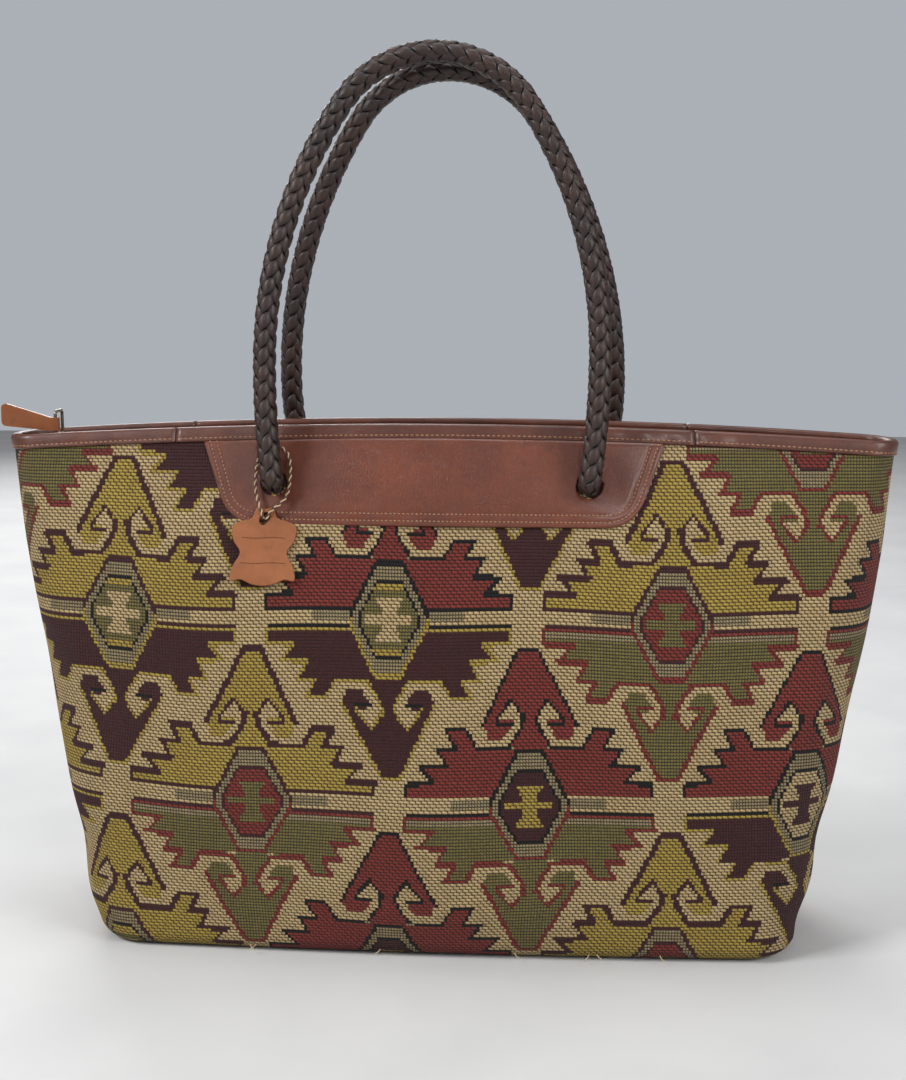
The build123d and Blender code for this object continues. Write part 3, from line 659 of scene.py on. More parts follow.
def handle_path(joint, side, shift, half_spacing, half_bow, rise):
    """Centre line of a handle from its left root to its right one."""
    _, root_y, root_z = (value / MM for value in JOINTS[joint]["pos_m"])
    lean = math.asin((abs(root_y) - BRAID_RADIUS - HANDLE_GAP / 2) / rise)
    shoulder_turn = math.pi / 2 - CROWN_TURN
    crown_x = CROWN_RADIUS * math.sin(CROWN_TURN)
    crown_y = rise - CROWN_RADIUS * (1 - math.cos(CROWN_TURN))
    shoulder_radius = (half_bow - crown_x) / (1 - math.cos(shoulder_turn))
    foot_y = crown_y - shoulder_radius * math.sin(shoulder_turn)
    shoulder_x = half_bow - shoulder_radius * (1 - math.cos(shoulder_turn / 2))
    shoulder_y = foot_y + shoulder_radius * math.sin(shoulder_turn / 2)
    leg_x = half_bow - (half_bow - half_spacing) / 4
    left = arc_through((-half_spacing, 0), (-leg_x, foot_y / 2), (-half_bow, foot_y), 24)
    left += arc_through((-half_bow, foot_y), (-shoulder_x, shoulder_y), (-crown_x, crown_y), 24)
    crown = arc_through((-crown_x, crown_y), (0, rise), (crown_x, crown_y), 36)
    flat = left + crown + [(-x, y) for x, y in reversed(left)]
    flat.insert(len(left) + len(crown), (crown_x, crown_y))
    up = np.array([0, -side * math.sin(lean), math.cos(lean)])
    root = np.array([shift, root_y, root_z])
    points = [root + np.array([x, 0, 0]) + y * up for x, y in flat]
    return Path(points, first_normal=(0, -math.cos(lean), -side * math.sin(lean)))


# Leather materials
def leather_material(name, tones, rough, coat, grain, bump, edge_shade_tone=None, crease=0.0):
    """Glazed leather with mottled dye, pores and, where an edge shade tone is given, painted shade at the
    strap edges where they turn under.
    """
    m = Nodes(name)
    place = m.place()
    clouds = m.noise(38.0, 5.0, place, 0.6)
    color = m.mix(m.span(clouds, 0.32, 0.68), linear(*tones[0]), linear(*tones[1]))
    blots = m.noise(150.0, 4.0, place, 0.7)
    color = m.mix(m.span(blots, 0.48, 0.78, 0.0, 0.55), color, linear(*tones[2]))
    pores = m.add("ShaderNodeTexVoronoi", {"Vector": place, "Scale": grain}, feature="DISTANCE_TO_EDGE")
    skin_height = m.span(pores.outputs["Distance"], 0.0, 0.12)
    fine = m.noise(grain * 1.7, 3.0, place)
    height = m.math("ADD", m.math("MULTIPLY", skin_height, 0.6), m.math("MULTIPLY", fine, 0.6))
    if crease:
        folds = m.noise(90.0, 6.0, place, 0.65)
        height = m.math("ADD", height, m.math("MULTIPLY", folds, crease))
    # Painted shade: strap edges darkened towards the edge tone where the strands turn under their neighbours
    if edge_shade_tone:
        across = m.add("ShaderNodeSeparateXYZ", {0: m.add("ShaderNodeUVMap", uv_map="UVMap").outputs[0]})
        off = m.math("ABSOLUTE", m.math("SUBTRACT", m.math("MULTIPLY", across.outputs[0], 2.0), 1.0))
        color = m.mix(m.span(off, 0.45, 1.0, 0.0, 0.9), color, linear(*edge_shade_tone))
    m.bump(height, bump, 0.6)
    shine = m.span(blots, 0.3, 0.8, rough - 0.06, rough + 0.14)
    return m.finish(color=color, rough=shine, coat=coat, coat_rough=0.12, specular=0.5)


yoke_leather = leather_material(
    "yoke_leather", ((88, 40, 23), (114, 55, 31), (66, 28, 17)), 0.36, 0.22, 900.0, 0.00014, crease=2.4
)
binding_leather = leather_material(
    "binding_leather", ((74, 35, 22), (96, 48, 30), (56, 25, 16)), 0.38, 0.2, 900.0, 0.00012, crease=1.2
)
# The braid's last tone is painted shade for the strand edges and the braid's core
braid_leather = leather_material(
    "braid_leather", ((38, 22, 15), (58, 34, 23), (26, 15, 11)), 0.44, 0.05, 1400.0, 0.0001, (9, 5, 4)
)
tag_leather = leather_material(
    "tag_leather", ((142, 80, 38), (162, 96, 50), (118, 62, 28)), 0.42, 0.2, 1500.0, 0.00014, crease=0.6
)
tag_press = leather_material(
    "tag_press", ((84, 44, 20), (98, 54, 26), (66, 34, 16)), 0.6, 0.05, 1500.0, 0.0001
)
pull_leather = leather_material(
    "pull_leather", ((128, 70, 34), (152, 88, 44), (96, 48, 24)), 0.36, 0.3, 1200.0, 0.0001
)


# Handles: side, shift, half the spacing of the roots, half the bow's width, and rise above the roots
HANDLES = {
    "front": (-1, -6.0, 80.0, 84.6, 216.0),
    "back": (1, 0.0, 83.0, 88.5, 209.0),
}
HOLE_Z = HEIGHT - 29.0
YOKE_FACE, PLUG_PROUD = 1.65, 0.9
KNOT_SEAT, KNOT_THICKNESS, KNOT_RADIUS = CLOTH + 1.4, 4.0, 9.0


def hole_frame(x, side):
    """Point on the bare cloth at a handle hole and the direction out of it."""
    base = beside(x, HOLE_Z, 0.0, side)
    out = beside(x, HOLE_Z, 1.0, side) - base
    return base, out / np.linalg.norm(out)


def knot(base, out):
    """Sewn-over end of a braid: a flattened ball behind the lining."""
    rows = []
    side_axis = np.array([1.0, 0, 0])
    up_axis = np.cross(out, side_axis)
    angles = ring_angles(24)[0]
    spokes = np.cos(angles)[:, None] * side_axis + np.sin(angles)[:, None] * up_axis
    for step in range(9):
        turn = math.pi * step / 8
        depth = -KNOT_SEAT - KNOT_THICKNESS / 2 + KNOT_THICKNESS / 2 * math.cos(turn)
        radius = 2.5 + (KNOT_RADIUS - 2.5) * math.sin(turn) ** 0.6 if 0 < step < 8 else 0.8
        lobes = radius * (1 + 0.05 * np.sin(4 * angles + turn * 2))
        rows.append(base + out * depth + lobes[:, None] * spokes)
    return closed_tube(np.array(rows))


def make_handle(which):
    side, shift, half_spacing, half_bow, rise = HANDLES[which]
    path = handle_path(f"{which}_handle_swing", side, shift, half_spacing, half_bow, rise)
    points, faces, uv = braid(path, -5.6, path.length + 5.6)
    obj = mesh_with_point_uv(f"{which}_braid", points, faces, uv)
    add_piece(obj, f"{which}_handle", braid_leather, [f"{which}_handle"])
    parts, uvs = [], []
    for x in (shift - half_spacing, shift + half_spacing):
        base, out = hole_frame(x, side)
        ends = base - out * (KNOT_SEAT + 1), base + out * (YOKE_FACE + PLUG_PROUD)
        plug = Path([ends[0], base, ends[1]], first_normal=(1, 0, 0))
        points, faces, uv = braid(plug, 1.0, plug.length - 0.2, round_ends=False)
        parts.append((points, faces))
        uvs.append(uv)
        points, faces = knot(base, out)
        parts.append((points, faces))
        uvs.append(np.full((len(points), 2), 0.5))
    points, faces = join_meshes(parts)
    tails = mesh_with_point_uv(f"{which}_braid_ends", points, faces, np.concatenate(uvs))
    add_piece(tails, "bag", braid_leather, [f"{which}_handle_tails"])


for which in HANDLES:
    make_handle(which)


# Yoke patches
YOKE_TOP, YOKE_BOTTOM, YOKE_DROP, YOKE_CORNER = 122.0, 103.0, 49.0, 20.0
BINDING_DROP, STITCH_GAP = 6.5, 0.15
YOKE_LOW, YOKE_HIGH = HEIGHT - YOKE_DROP, HEIGHT - BINDING_DROP - STITCH_GAP
YOKE_SLOPE = (YOKE_TOP - YOKE_BOTTOM) / (YOKE_DROP + HEM)
SLOPE_LENGTH = math.hypot(1, YOKE_SLOPE)
CORNER_X = YOKE_BOTTOM + YOKE_SLOPE * YOKE_CORNER - YOKE_CORNER * SLOPE_LENGTH
HOLE_RADIUS = 6.75
EDGE_ROUND = 0.7
YOKE_ROWS, YOKE_PITCH = (2.4, 5.8), 2.2


def yoke_half_width(z, inset=0.0):
    """Half width of the patch at height z, of its outline moved in by inset."""
    low, radius = YOKE_LOW + inset, YOKE_CORNER - inset
    rise = np.clip(YOKE_LOW + YOKE_CORNER - z, 0, radius)
    on_line = YOKE_BOTTOM + YOKE_SLOPE * (z - YOKE_LOW) - inset * SLOPE_LENGTH
    tangent_z = YOKE_LOW + YOKE_CORNER - radius * YOKE_SLOPE / SLOPE_LENGTH
    on_arc = CORNER_X + np.sqrt(np.maximum(radius**2 - rise**2, 0))
    return np.where(z < tangent_z, on_arc, on_line)


def yoke_depth(x, z):
    """Distance of a point of the patch in from its sewn outline."""
    x = np.abs(x)
    centre_z = YOKE_LOW + YOKE_CORNER
    in_corner = (x > CORNER_X) & (z < centre_z)
    sides = (YOKE_BOTTOM + YOKE_SLOPE * (z - YOKE_LOW) - x) / SLOPE_LENGTH
    plain = np.minimum(z - YOKE_LOW, sides)
    return np.where(in_corner, np.minimum(YOKE_CORNER - np.hypot(x - CORNER_X, z - centre_z), sides), plain)


def yoke_stand(x, z):
    """Stand of the patch's face off the cloth, rounded at the outline and a little wavy between."""
    depth = np.clip(yoke_depth(x, z), 0, None)
    near = np.clip(EDGE_ROUND - depth, 0, EDGE_ROUND)
    rounding = EDGE_ROUND - np.sqrt(EDGE_ROUND**2 - near**2)
    furrow = sum(0.14 * np.exp(-(((depth - row) / 0.6) ** 2)) for row in YOKE_ROWS)
    waves = 0.34 * np.sin(x / 23 + z / 31) * np.sin(z / 13 + 1) + 0.1 * np.sin(x / 9.5 + z / 6)
    return YOKE_FACE - rounding - furrow + waves * np.clip(depth / 8, 0, 1)


def make_yoke(which, side, shift, hole_xs):
    """Leather patch with rounded edges and cut holes, closed behind."""
    edge_steps = np.array([0, 0.08, 0.25, 0.5, 0.9, 1.8, 2.4, 3.0, 4.4, 5.2, 5.8, 6.4, 8.5])
    low = YOKE_LOW + edge_steps
    z = np.concatenate([low, np.linspace(low[-1], YOKE_HIGH, 22)[1:]])[:, None]
    inner = np.linspace(-1, 1, 110)
    half = yoke_half_width(np.maximum(z, YOKE_LOW + 0.02))
    x = np.concatenate([-half + edge_steps, inner * (half - 9.6), (half - edge_steps[::-1])], axis=1)
    top = rim_height(x + shift) - BINDING_DROP - STITCH_GAP
    share = np.clip((z - low[-1]) / (YOKE_HIGH - low[-1]), 0, 1)
    z = z + 0 * x - share * (YOKE_HIGH - top)
    s = s_at(x + shift, z)
    face = on_bag(s, z, yoke_stand(x, z), side, slack=False)
    rear = on_bag(s, z, STITCH_GAP, side, slack=False)
    rows, columns = x.shape
    front_faces = grid_faces(rows, columns).reshape(-1, 4)
    rear_faces = front_faces[:, ::-1] + rows * columns
    ring = list(range(columns)) + [r * columns + columns - 1 for r in range(1, rows)]
    ring += [(rows - 1) * columns + c for c in range(columns - 2, -1, -1)]
    ring += [r * columns for r in range(rows - 2, 0, -1)]
    walls = [(b, a, a + rows * columns, b + rows * columns) for a, b in zip(ring, ring[1:] + ring[:1])]
    faces = np.concatenate([front_faces, rear_faces, np.array(walls)])
    if side > 0:
        faces = faces[:, ::-1]
    points = np.concatenate([face.reshape(-1, 3), rear.reshape(-1, 3)])
    obj = new_mesh(f"{which}_yoke_leather", points, faces.tolist())
    cutters = []
    for hole_x in hole_xs:
        base, out = hole_frame(hole_x, side)
        line = Path([base - out * 4, base, base + out * 8], first_normal=(1, 0, 0))
        ring_angle = ring_angles(48) + np.zeros((3, 1))
        run = np.array([[0.0], [6.0], [12.0]]) + 0 * ring_angle
        cutters.append(closed_tube(line.around(run, ring_angle, np.full(ring_angle.shape, HOLE_RADIUS))))
    cutter = new_mesh("hole_cutter", *join_meshes(cutters), smooth=False)
    cut = obj.modifiers.new("holes", "BOOLEAN")
    cut.operation = "DIFFERENCE"
    cut.object = cutter
    cut.solver = "EXACT"
    graph = bpy.context.evaluated_depsgraph_get()
    result = bpy.data.meshes.new_from_object(obj.evaluated_get(graph))
    obj.modifiers.clear()
    obj.data = result
    bpy.data.objects.remove(cutter)
    obj.data.materials.clear()
    add_piece(obj, "bag", yoke_leather, [f"{which}_yoke"])


for which, (side, shift, half_spacing, _, _) in HANDLES.items():
    make_yoke(which, side, shift, (shift - half_spacing, shift + half_spacing))


# Rim bindings, each a strip folded over the edge of the cloth
FOLD = 1.35
INNER = CLOTH + FOLD
JOINT_LEFT, JOINT_RIGHT, JOINT_GAP = -139.0, 127.0, 0.2
SEAM_DROP, SEAM_DEPTH = 4.9, 0.16
FOLD_HALF = FOLD + CLOTH / 2
FOLD_TURNS = [math.pi * k / 10 for k in range(11)]

# Section of the binding as (stand off the cloth, height over its raw edge)
FOLD_PROFILE = (
    [(0.2, -BINDING_DROP), (1.0, -BINDING_DROP), (FOLD, -6.1), (FOLD, -5.5)]
    + [(FOLD - SEAM_DEPTH, -SEAM_DROP), (FOLD, -4.3), (FOLD, -2.4)]
    + [(-CLOTH / 2 + FOLD_HALF * math.cos(turn), -1.0 + 2.35 * math.sin(turn)) for turn in FOLD_TURNS]
    + [(-INNER, -2.4), (-INNER, -4.3), (SEAM_DEPTH - INNER, -SEAM_DROP)]
    + [(-INNER, -5.5), (-INNER, -6.1), (-CLOTH - 1.0, -BINDING_DROP)]
    + [(-CLOTH - 0.2, -BINDING_DROP), (-CLOTH - 0.2, 0.0), (0.2, 0.0)]
)


def rim_level(share):
    """Height of the raw edge at a share of the half girth."""
    z = HEIGHT
    for _ in range(3):
        section = Section(z)
        x = section.place(np.asarray(share * section.half_girth))[0][..., 0]
        z = rim_height(np.clip(x, -HALF_RIM, HALF_RIM))
    return z


def share_at(x):
    """Share of the half girth at the sideways place x of the rim."""
    return float(s_at(x, HEIGHT) / Section(HEIGHT).half_girth)


def rim_point(share, side, stand, drop):
    """Point beside the rim at a share of the half girth; drop is its height over the cloth's edge."""
    share, stand, drop = np.broadcast_arrays(np.asarray(share, float), stand, drop)
    z = rim_level(share) + drop
    half = Section(z).half_girth
    return on_bag(share * half, z, stand, side, slack=False)


def binding_strip(name, node, stations):
    """Folded strip through stations of (share of the half girth, side)."""
    profile = np.array(FOLD_PROFILE)
    rings = []
    for number, (share, side) in enumerate(stations):
        swell = 1 + 0.04 * math.sin(number * 0.9) + 0.03 * math.sin(number * 0.37 + side)
        stand = -CLOTH / 2 + (profile[:, 0] + CLOTH / 2) * swell
        rings.append(rim_point(share, side, stand, profile[:, 1]))
    rings = np.array(rings)
    if stations[0][1] > 0 and stations[-1][1] > 0:
        rings = rings[::-1]
    points, faces = closed_tube(rings)
    obj = new_mesh(name, points, [face[::-1] for face in faces])
    return add_piece(obj, "bag", binding_leather, [node])


def spaced(first, last, pitch):
    """Shares from first to last, about pitch millimetres apart."""
    steps = max(int(abs(last - first) * Section(HEIGHT).half_girth / pitch), 1)
    return [first + (last - first) * k / steps for k in range(steps + 1)]


left_share, right_share = share_at(JOINT_LEFT), share_at(JOINT_RIGHT)
gap_share = JOINT_GAP / float(Section(HEIGHT).half_girth)
RIM_PITCH = 2.6
for which, side in (("front", -1), ("back", 1)):
    middle = spaced(left_share + gap_share, right_share - gap_share, RIM_PITCH)
    binding_strip(f"binding_{which}", f"rim_binding_{which}", [(share, side) for share in middle])
right_end = spaced(right_share + gap_share, 1.0, RIM_PITCH)
left_end = spaced(left_share - gap_share, -1.0, RIM_PITCH)
for which, end in (("right", right_end), ("left", left_end)):
    stations = [(share, -1) for share in end] + [(share, 1) for share in end[-2::-1]]
    if which == "left":
        stations = stations[::-1]
    binding_strip(f"binding_{which}", f"rim_binding_{which}", stations)


# Stitches: short thread arches between needle holes, each hole a dark disc of painted shade
def stitch_row(parts, holes, points, lifted, pitch):
    """Stitches along a row of surface points; lifted holds the points 1 mm out from them."""
    points = np.asarray(points)
    outs = np.asarray(lifted) - points
    run = np.concatenate([[0], np.cumsum(np.linalg.norm(np.diff(points, axis=0), axis=1))])
    count = int(run[-1] / pitch)
    ring = ring_angles(6)[0]
    for number in range(count):
        middle = (number + 0.5) * run[-1] / count
        spots = middle + pitch * np.array([-0.36, -0.2, 0.0, 0.2, 0.36]) + random.uniform(-0.05, 0.05)
        sizes = (0.06, 0.3, 0.36, 0.3, 0.06)
        lifts = (-0.05, 0.1, 0.17, 0.1, -0.05)
        line = np.stack([np.interp(spots, run, points[:, axis]) for axis in range(3)], -1)
        out = np.array([np.interp(middle, run, outs[:, axis]) for axis in range(3)])
        out /= np.linalg.norm(out)
        along = line[-1] - line[0]
        along /= np.linalg.norm(along)
        side = np.cross(along, out)
        tilt = random.uniform(-0.12, 0.12)
        rings = []
        for spot, size, lift, share in zip(line, sizes, lifts, (-1, -0.5, 0, 0.5, 1)):
            middle_point = spot + out * lift + side * tilt * share
            rings.append(middle_point + size * (np.cos(ring)[:, None] * side + np.sin(ring)[:, None] * out))
        parts.append(closed_tube(np.array(rings)))
        # Dark disc sunk into each needle hole: painted shade in the hole
        spot = np.array([np.interp(middle + pitch / 2, run, points[:, axis]) for axis in range(3)])
        disc = [spot + out * 0.04 + 0.26 * (math.cos(a) * along + math.sin(a) * side) for a in ring]
        disc.append(spot - out * 0.15)
        holes.append((disc, [(0, 5, 4, 3, 2, 1)] + [(k, (k + 1) % 6, 6) for k in range(6)]))


def thread_material(name, tone, shade):
    """Spun thread, mottled between two tones."""
    m = Nodes(name)
    place = m.place()
    color = m.mix(m.noise(900.0, 2.0, place), linear(*tone), linear(*shade))
    m.bump(m.noise(5000.0, 2.0, place), 0.0001, 0.6)
    return m.finish(color=color, rough=0.7, sheen=0.2, sheen_rough=0.4)


thread = thread_material("thread", (190, 142, 100), (128, 84, 58))
# Near-black tones: painted shade for the needle holes
needle_hole_shade = thread_material("needle_hole_shade", (26, 14, 11), (44, 24, 18))


def finish_stitches(name, parts, holes):
    """Pieces of the gathered stitches and of the painted shade in their needle holes."""
    obj = new_mesh(name, *join_meshes(parts))
    add_piece(obj, "bag", thread)
    dots = new_mesh(name + "_holes", *join_meshes(holes), smooth=False)
    add_piece(dots, "bag", needle_hole_shade)


for which, (side, shift, _, _, _) in HANDLES.items():
    parts, holes = [], []
    for inset in YOKE_ROWS:
        top_z = HEIGHT - BINDING_DROP - 1.6
        tangent_z = YOKE_LOW + YOKE_CORNER - (YOKE_CORNER - inset) * YOKE_SLOPE / SLOPE_LENGTH
        route = []
        for z in np.linspace(top_z, tangent_z, 30):
            route.append((YOKE_BOTTOM + YOKE_SLOPE * (z - YOKE_LOW) - inset * SLOPE_LENGTH, z))
        first_angle = math.atan2(-YOKE_SLOPE, 1)
        for angle in np.linspace(first_angle, -math.pi / 2, 24)[1:]:
            out, up = (YOKE_CORNER - inset) * math.cos(angle), (YOKE_CORNER - inset) * math.sin(angle)
            route.append((CORNER_X + out, YOKE_LOW + YOKE_CORNER + up))
        route += [(x, YOKE_LOW + inset) for x in np.linspace(CORNER_X, 0, 40)[1:]]
        route += [(-x, z) for x, z in reversed(route[:-1])]
        base = [beside(x + shift, z, float(yoke_stand(x, z)), side) for x, z in route]
        lifted = [beside(x + shift, z, float(yoke_stand(x, z)) + 1, side) for x, z in route]
        stitch_row(parts, holes, base, lifted, YOKE_PITCH)
    finish_stitches(f"{which}_yoke_stitches", parts, holes)

SEAM_STEP = 4


def round_end(first, end):
    """Stations of a seam from the front, round one end of the rim, to the back."""
    out, home = spaced(first, end, SEAM_STEP), spaced(end, first, SEAM_STEP)
    return [(share, -1) for share in out] + [(share, 1) for share in home[1:]]


parts, holes = [], []
seam_end = 8 * gap_share
long_seam = spaced(left_share + seam_end, right_share - seam_end, SEAM_STEP)
for stations in (
    [(share, -1) for share in long_seam],
    [(share, 1) for share in long_seam],
    round_end(right_share + seam_end, 1),
    round_end(left_share - seam_end, -1),
):
    for stand, sign in ((FOLD - SEAM_DEPTH, 1), (SEAM_DEPTH - INNER, -1)):
        base = [rim_point(share, side, stand, -SEAM_DROP) for share, side in stations]
        lifted = [rim_point(share, side, stand + sign, -SEAM_DROP) for share, side in stations]
        stitch_row(parts, holes, base, lifted, RIM_PITCH)
finish_stitches("binding_stitches", parts, holes)


# Hang tag: hide-shaped plate with a slot and two pressed lines
TAG_X, TAG_WIDTH, TAG_HEIGHT, TAG_THICKNESS = -89.5, 36.0, 40.0, 2.0
TAG_TOP_DROP, TAG_GAP, SLOT_DROP, SLOT_LENGTH, SLOT_WIDTH = 16.0, 0.9, 5.5, 7.0, 4.4
SLOT_TURN = math.radians(60)
TAG_HALF = [
    (0.0, 0.02), (0.22, 0.0), (0.36, 0.13), (0.62, 0.17), (0.90, 0.24), (0.86, 0.42),
    (0.66, 0.58), (0.86, 0.76), (0.90, 0.93), (0.62, 0.92), (0.30, 0.98), (0.0, 1.0),
]


def smooth_line(points, steps):
    """Catmull-Rom curve through the points of an open line."""
    points = np.asarray(points, float)
    padded = np.concatenate([[2 * points[0] - points[1]], points, [2 * points[-1] - points[-2]]])
    line = []
    for a, b, c, d in zip(padded, padded[1:], padded[2:], padded[3:]):
        for k in range(steps):
            t = k / steps
            square, cube = 2 * a - 5 * b + 4 * c - d, 3 * b - a - 3 * c + d
            line.append(0.5 * (2 * b + (c - a) * t + square * t**2 + cube * t**3))
    line.append(points[-1])
    return np.array(line)


def mesh_of_curve(curve):
    """Mesh of a curve, with the curve's own object taken away again."""
    holder = link(curve.name, curve)
    mesh = bpy.data.meshes.new_from_object(holder.evaluated_get(bpy.context.evaluated_depsgraph_get()))
    bpy.data.objects.remove(holder)
    return mesh


def round_tube(path, steps, sides, radius, ripple, wave):
    """Closed tube along a whole path, its radius rippling along it."""
    run = np.linspace(0, path.length, steps)[:, None]
    ring = ring_angles(sides) + 0 * run
    return closed_tube(path.around(run + 0 * ring, ring, radius + ripple * np.sin(run * wave) + 0 * ring))


def flat_plate(name, outline, holes, thickness, round_edge):
    """Plate with rounded edges from closed outlines in the XY plane, its back at height 0."""
    curve = bpy.data.curves.new(name, "CURVE")
    curve.dimensions = "2D"
    curve.fill_mode = "BOTH"
    for loop in [outline] + holes:
        spline = curve.splines.new("POLY")
        spline.points.add(len(loop) - 1)
        for point, (x, y) in zip(spline.points, loop):
            point.co = (x * MM, y * MM, 0, 1)
        spline.use_cyclic_u = True
    curve.extrude = (thickness / 2 - round_edge) * MM
    curve.bevel_depth = round_edge * MM
    curve.bevel_resolution = 3
    curve.offset = -round_edge * MM
    mesh = mesh_of_curve(curve)
    mesh.transform(Matrix.Translation((0, 0, thickness / 2 * MM)))
    work = bmesh.new()
    work.from_mesh(mesh)
    bmesh.ops.remove_doubles(work, verts=work.verts, dist=1e-6)
    bmesh.ops.recalc_face_normals(work, faces=work.faces)
    work.to_mesh(mesh)
    work.free()
    return link(name, mesh)


def set_frame(obj, origin, x_axis, y_axis):
    """Move a mesh drawn in the XY plane to an origin in millimetres and two axes."""
    x_axis, y_axis = Vector(x_axis), Vector(y_axis)
    turned = Matrix((x_axis, y_axis, x_axis.cross(y_axis))).transposed().to_4x4()
    obj.data.transform(Matrix.Translation(Vector(origin) * MM) @ turned)


def make_tag():
    """Tag with its slot, leaning as the bag does, and the two lines pressed in it."""
    touch_z = HEIGHT - YOKE_DROP
    touch = beside(TAG_X, touch_z, YOKE_FACE + TAG_GAP)
    above, below = beside(TAG_X, touch_z + 6, 0.0), beside(TAG_X, touch_z - 6, 0.0)
    lean = math.atan2(above[1] - below[1], 12)
    up = Vector((0, math.sin(lean), math.cos(lean)))
    root_z = JOINTS["front_handle_swing"]["pos_m"][2] / MM
    top = (root_z - TAG_TOP_DROP - touch_z) / math.cos(lean)
    half = smooth_line([(x * TAG_WIDTH / 2, top - y * TAG_HEIGHT) for x, y in TAG_HALF], 5)
    outline = [tuple(point) for point in half] + [(-x, y) for x, y in half[-2:0:-1]]
    slot = []
    straight = (SLOT_LENGTH - SLOT_WIDTH) / 2
    for end in (1, -1):
        for angle in np.linspace(-math.pi / 2, math.pi / 2, 9):
            x = end * (straight + SLOT_WIDTH / 2 * math.cos(angle))
            y = end * SLOT_WIDTH / 2 * math.sin(angle)
            turned = Matrix.Rotation(SLOT_TURN, 2) @ Vector((x, y))
            slot.append((turned.x, turned.y + top - SLOT_DROP))
    tag = flat_plate("tag_leather", outline, [slot], TAG_THICKNESS, 0.35)
    set_frame(tag, touch, (1, 0, 0), up)
    for face in tag.data.polygons:
        face.use_smooth = abs(face.normal.dot(Vector((1, 0, 0)).cross(up))) < 0.98
    add_piece(tag, "tag", tag_leather, ["hang_tag"])
    rows = []
    for drop, reach in ((15.5, 11.0), (28.5, 11.5)):
        line = [(x, top - drop + 0.25 * math.sin(x / 3)) for x in np.linspace(-reach, reach, 30)]
        path = Path([(x, y, TAG_THICKNESS) for x, y in line])
        rows.append(round_tube(path, 40, 8, 0.22, 0.04, 3))
    lines = new_mesh("tag_pressed_lines", *join_meshes(rows))
    lines.data.transform(Matrix.Diagonal((1, 1, 0.3, 1)))
    lines.data.transform(Matrix.Translation((0, 0, TAG_THICKNESS * 0.7 * MM)))
    set_frame(lines, touch, (1, 0, 0), up)
    add_piece(lines, "tag", tag_press)
    return [tag, lines]


tag_pieces = make_tag()

# Tag cord: two twisted strands along the route that the frame was built with
CORD_DIAMETER, CORD_LENGTH, CORD_TWIST = 0.0016, 0.092, 4.2
STRAND_ORBIT, STRAND_RADIUS = 0.38, 0.44
CORD_ROUTE = [
    (-0.0903, -0.04523, 0.22558),
    (-0.0915, -0.04458, 0.23054),
    (-0.0934, -0.04252, 0.23401),
    (-0.0952, -0.03951, 0.2402),
    (-0.0954, -0.03568, 0.2484),
    (-0.0946, -0.032, 0.25581),
    (-0.0908, -0.0297, 0.26049),
    (-0.0846, -0.02956, 0.2611),
    (-0.0796, -0.03115, 0.25805),
    (-0.0775, -0.03455, 0.25162),
    (-0.0774, -0.03842, 0.24404),
    (-0.0782, -0.04139, 0.23728),
    (-0.0818, -0.04383, 0.23254),
    (-0.0869, -0.04513, 0.22956),
    (-0.0887, -0.04545, 0.22518),
]


def spline_points(route):
    """Points along the smooth line that a route's points control."""
    curve = bpy.data.curves.new("route", "CURVE")
    curve.dimensions = "3D"
    curve.resolution_u = 16
    spline = curve.splines.new("NURBS")
    spline.points.add(len(route) - 1)
    for point, place in zip(spline.points, route):
        point.co = (*place, 1)
    spline.order_u = 3
    spline.use_endpoint_u = True
    mesh = mesh_of_curve(curve)
    points = [tuple(vertex.co) for vertex in mesh.vertices]
    bpy.data.meshes.remove(mesh)
    return points


def make_cord():
    """Two strands twisted about the route's smooth line."""
    line = spline_points(CORD_ROUTE)
    path = Path(np.array(line) / MM, first_normal=(1, 0, 0))
    run = np.linspace(0, path.length, 260)[:, None]
    ring = ring_angles(10)
    parts = []
    for strand in range(2):
        turn = 2 * math.pi * run / CORD_TWIST + math.pi * strand
        x = STRAND_ORBIT * np.cos(turn) + STRAND_RADIUS * np.cos(ring)
        y = STRAND_ORBIT * np.sin(turn) + STRAND_RADIUS * np.sin(ring)
        parts.append(closed_tube(path.around(run + 0 * ring, np.arctan2(y, x), np.hypot(x, y))))
    points, faces = join_meshes(parts)
    obj = new_mesh("tag_twisted_cord", points, faces)
    add_piece(obj, "tag", cord_pale, ["tag_cord"])
    obj.data.materials.append(cord_dark)
    for face in obj.data.polygons[len(faces) // 2:]:
        face.material_index = 1


cord_pale = thread_material("cord_pale", (220, 196, 160), (176, 146, 108))
cord_dark = thread_material("cord_dark", (92, 58, 40), (58, 36, 26))
make_cord()


# Finishes of the frame's own pieces
def cloth_material(name, tone, shade, pitch, depth, rough=0.85):
    """Plain woven cloth or tape, with threads both ways."""
    m = Nodes(name)
    place = m.place()
    split = m.add("ShaderNodeSeparateXYZ", {0: place})
    scale = math.pi / (pitch * MM)
    warp = m.math("SINE", m.math("MULTIPLY", split.outputs[0], scale))
    weft = m.math("SINE", m.math("MULTIPLY", m.math("ADD", split.outputs[1], split.outputs[2]), scale))
    weave = m.math("MULTIPLY", warp, weft)
    fuzz = m.noise(2500.0, 3.0, place)
    color = m.mix(m.span(weave, -1, 1), linear(*shade), linear(*tone))
    cloud = m.mix(1.0, color, (0.72, 0.7, 0.68, 1), "MULTIPLY")
    color = m.mix(m.span(m.noise(45.0, 4.0, place), 0.35, 0.7, 0.0, 0.6), color, cloud)
    m.bump(m.math("ADD", weave, fuzz), depth, 0.7)
    return m.finish(color=color, rough=rough, sheen=0.15, sheen_rough=0.5)


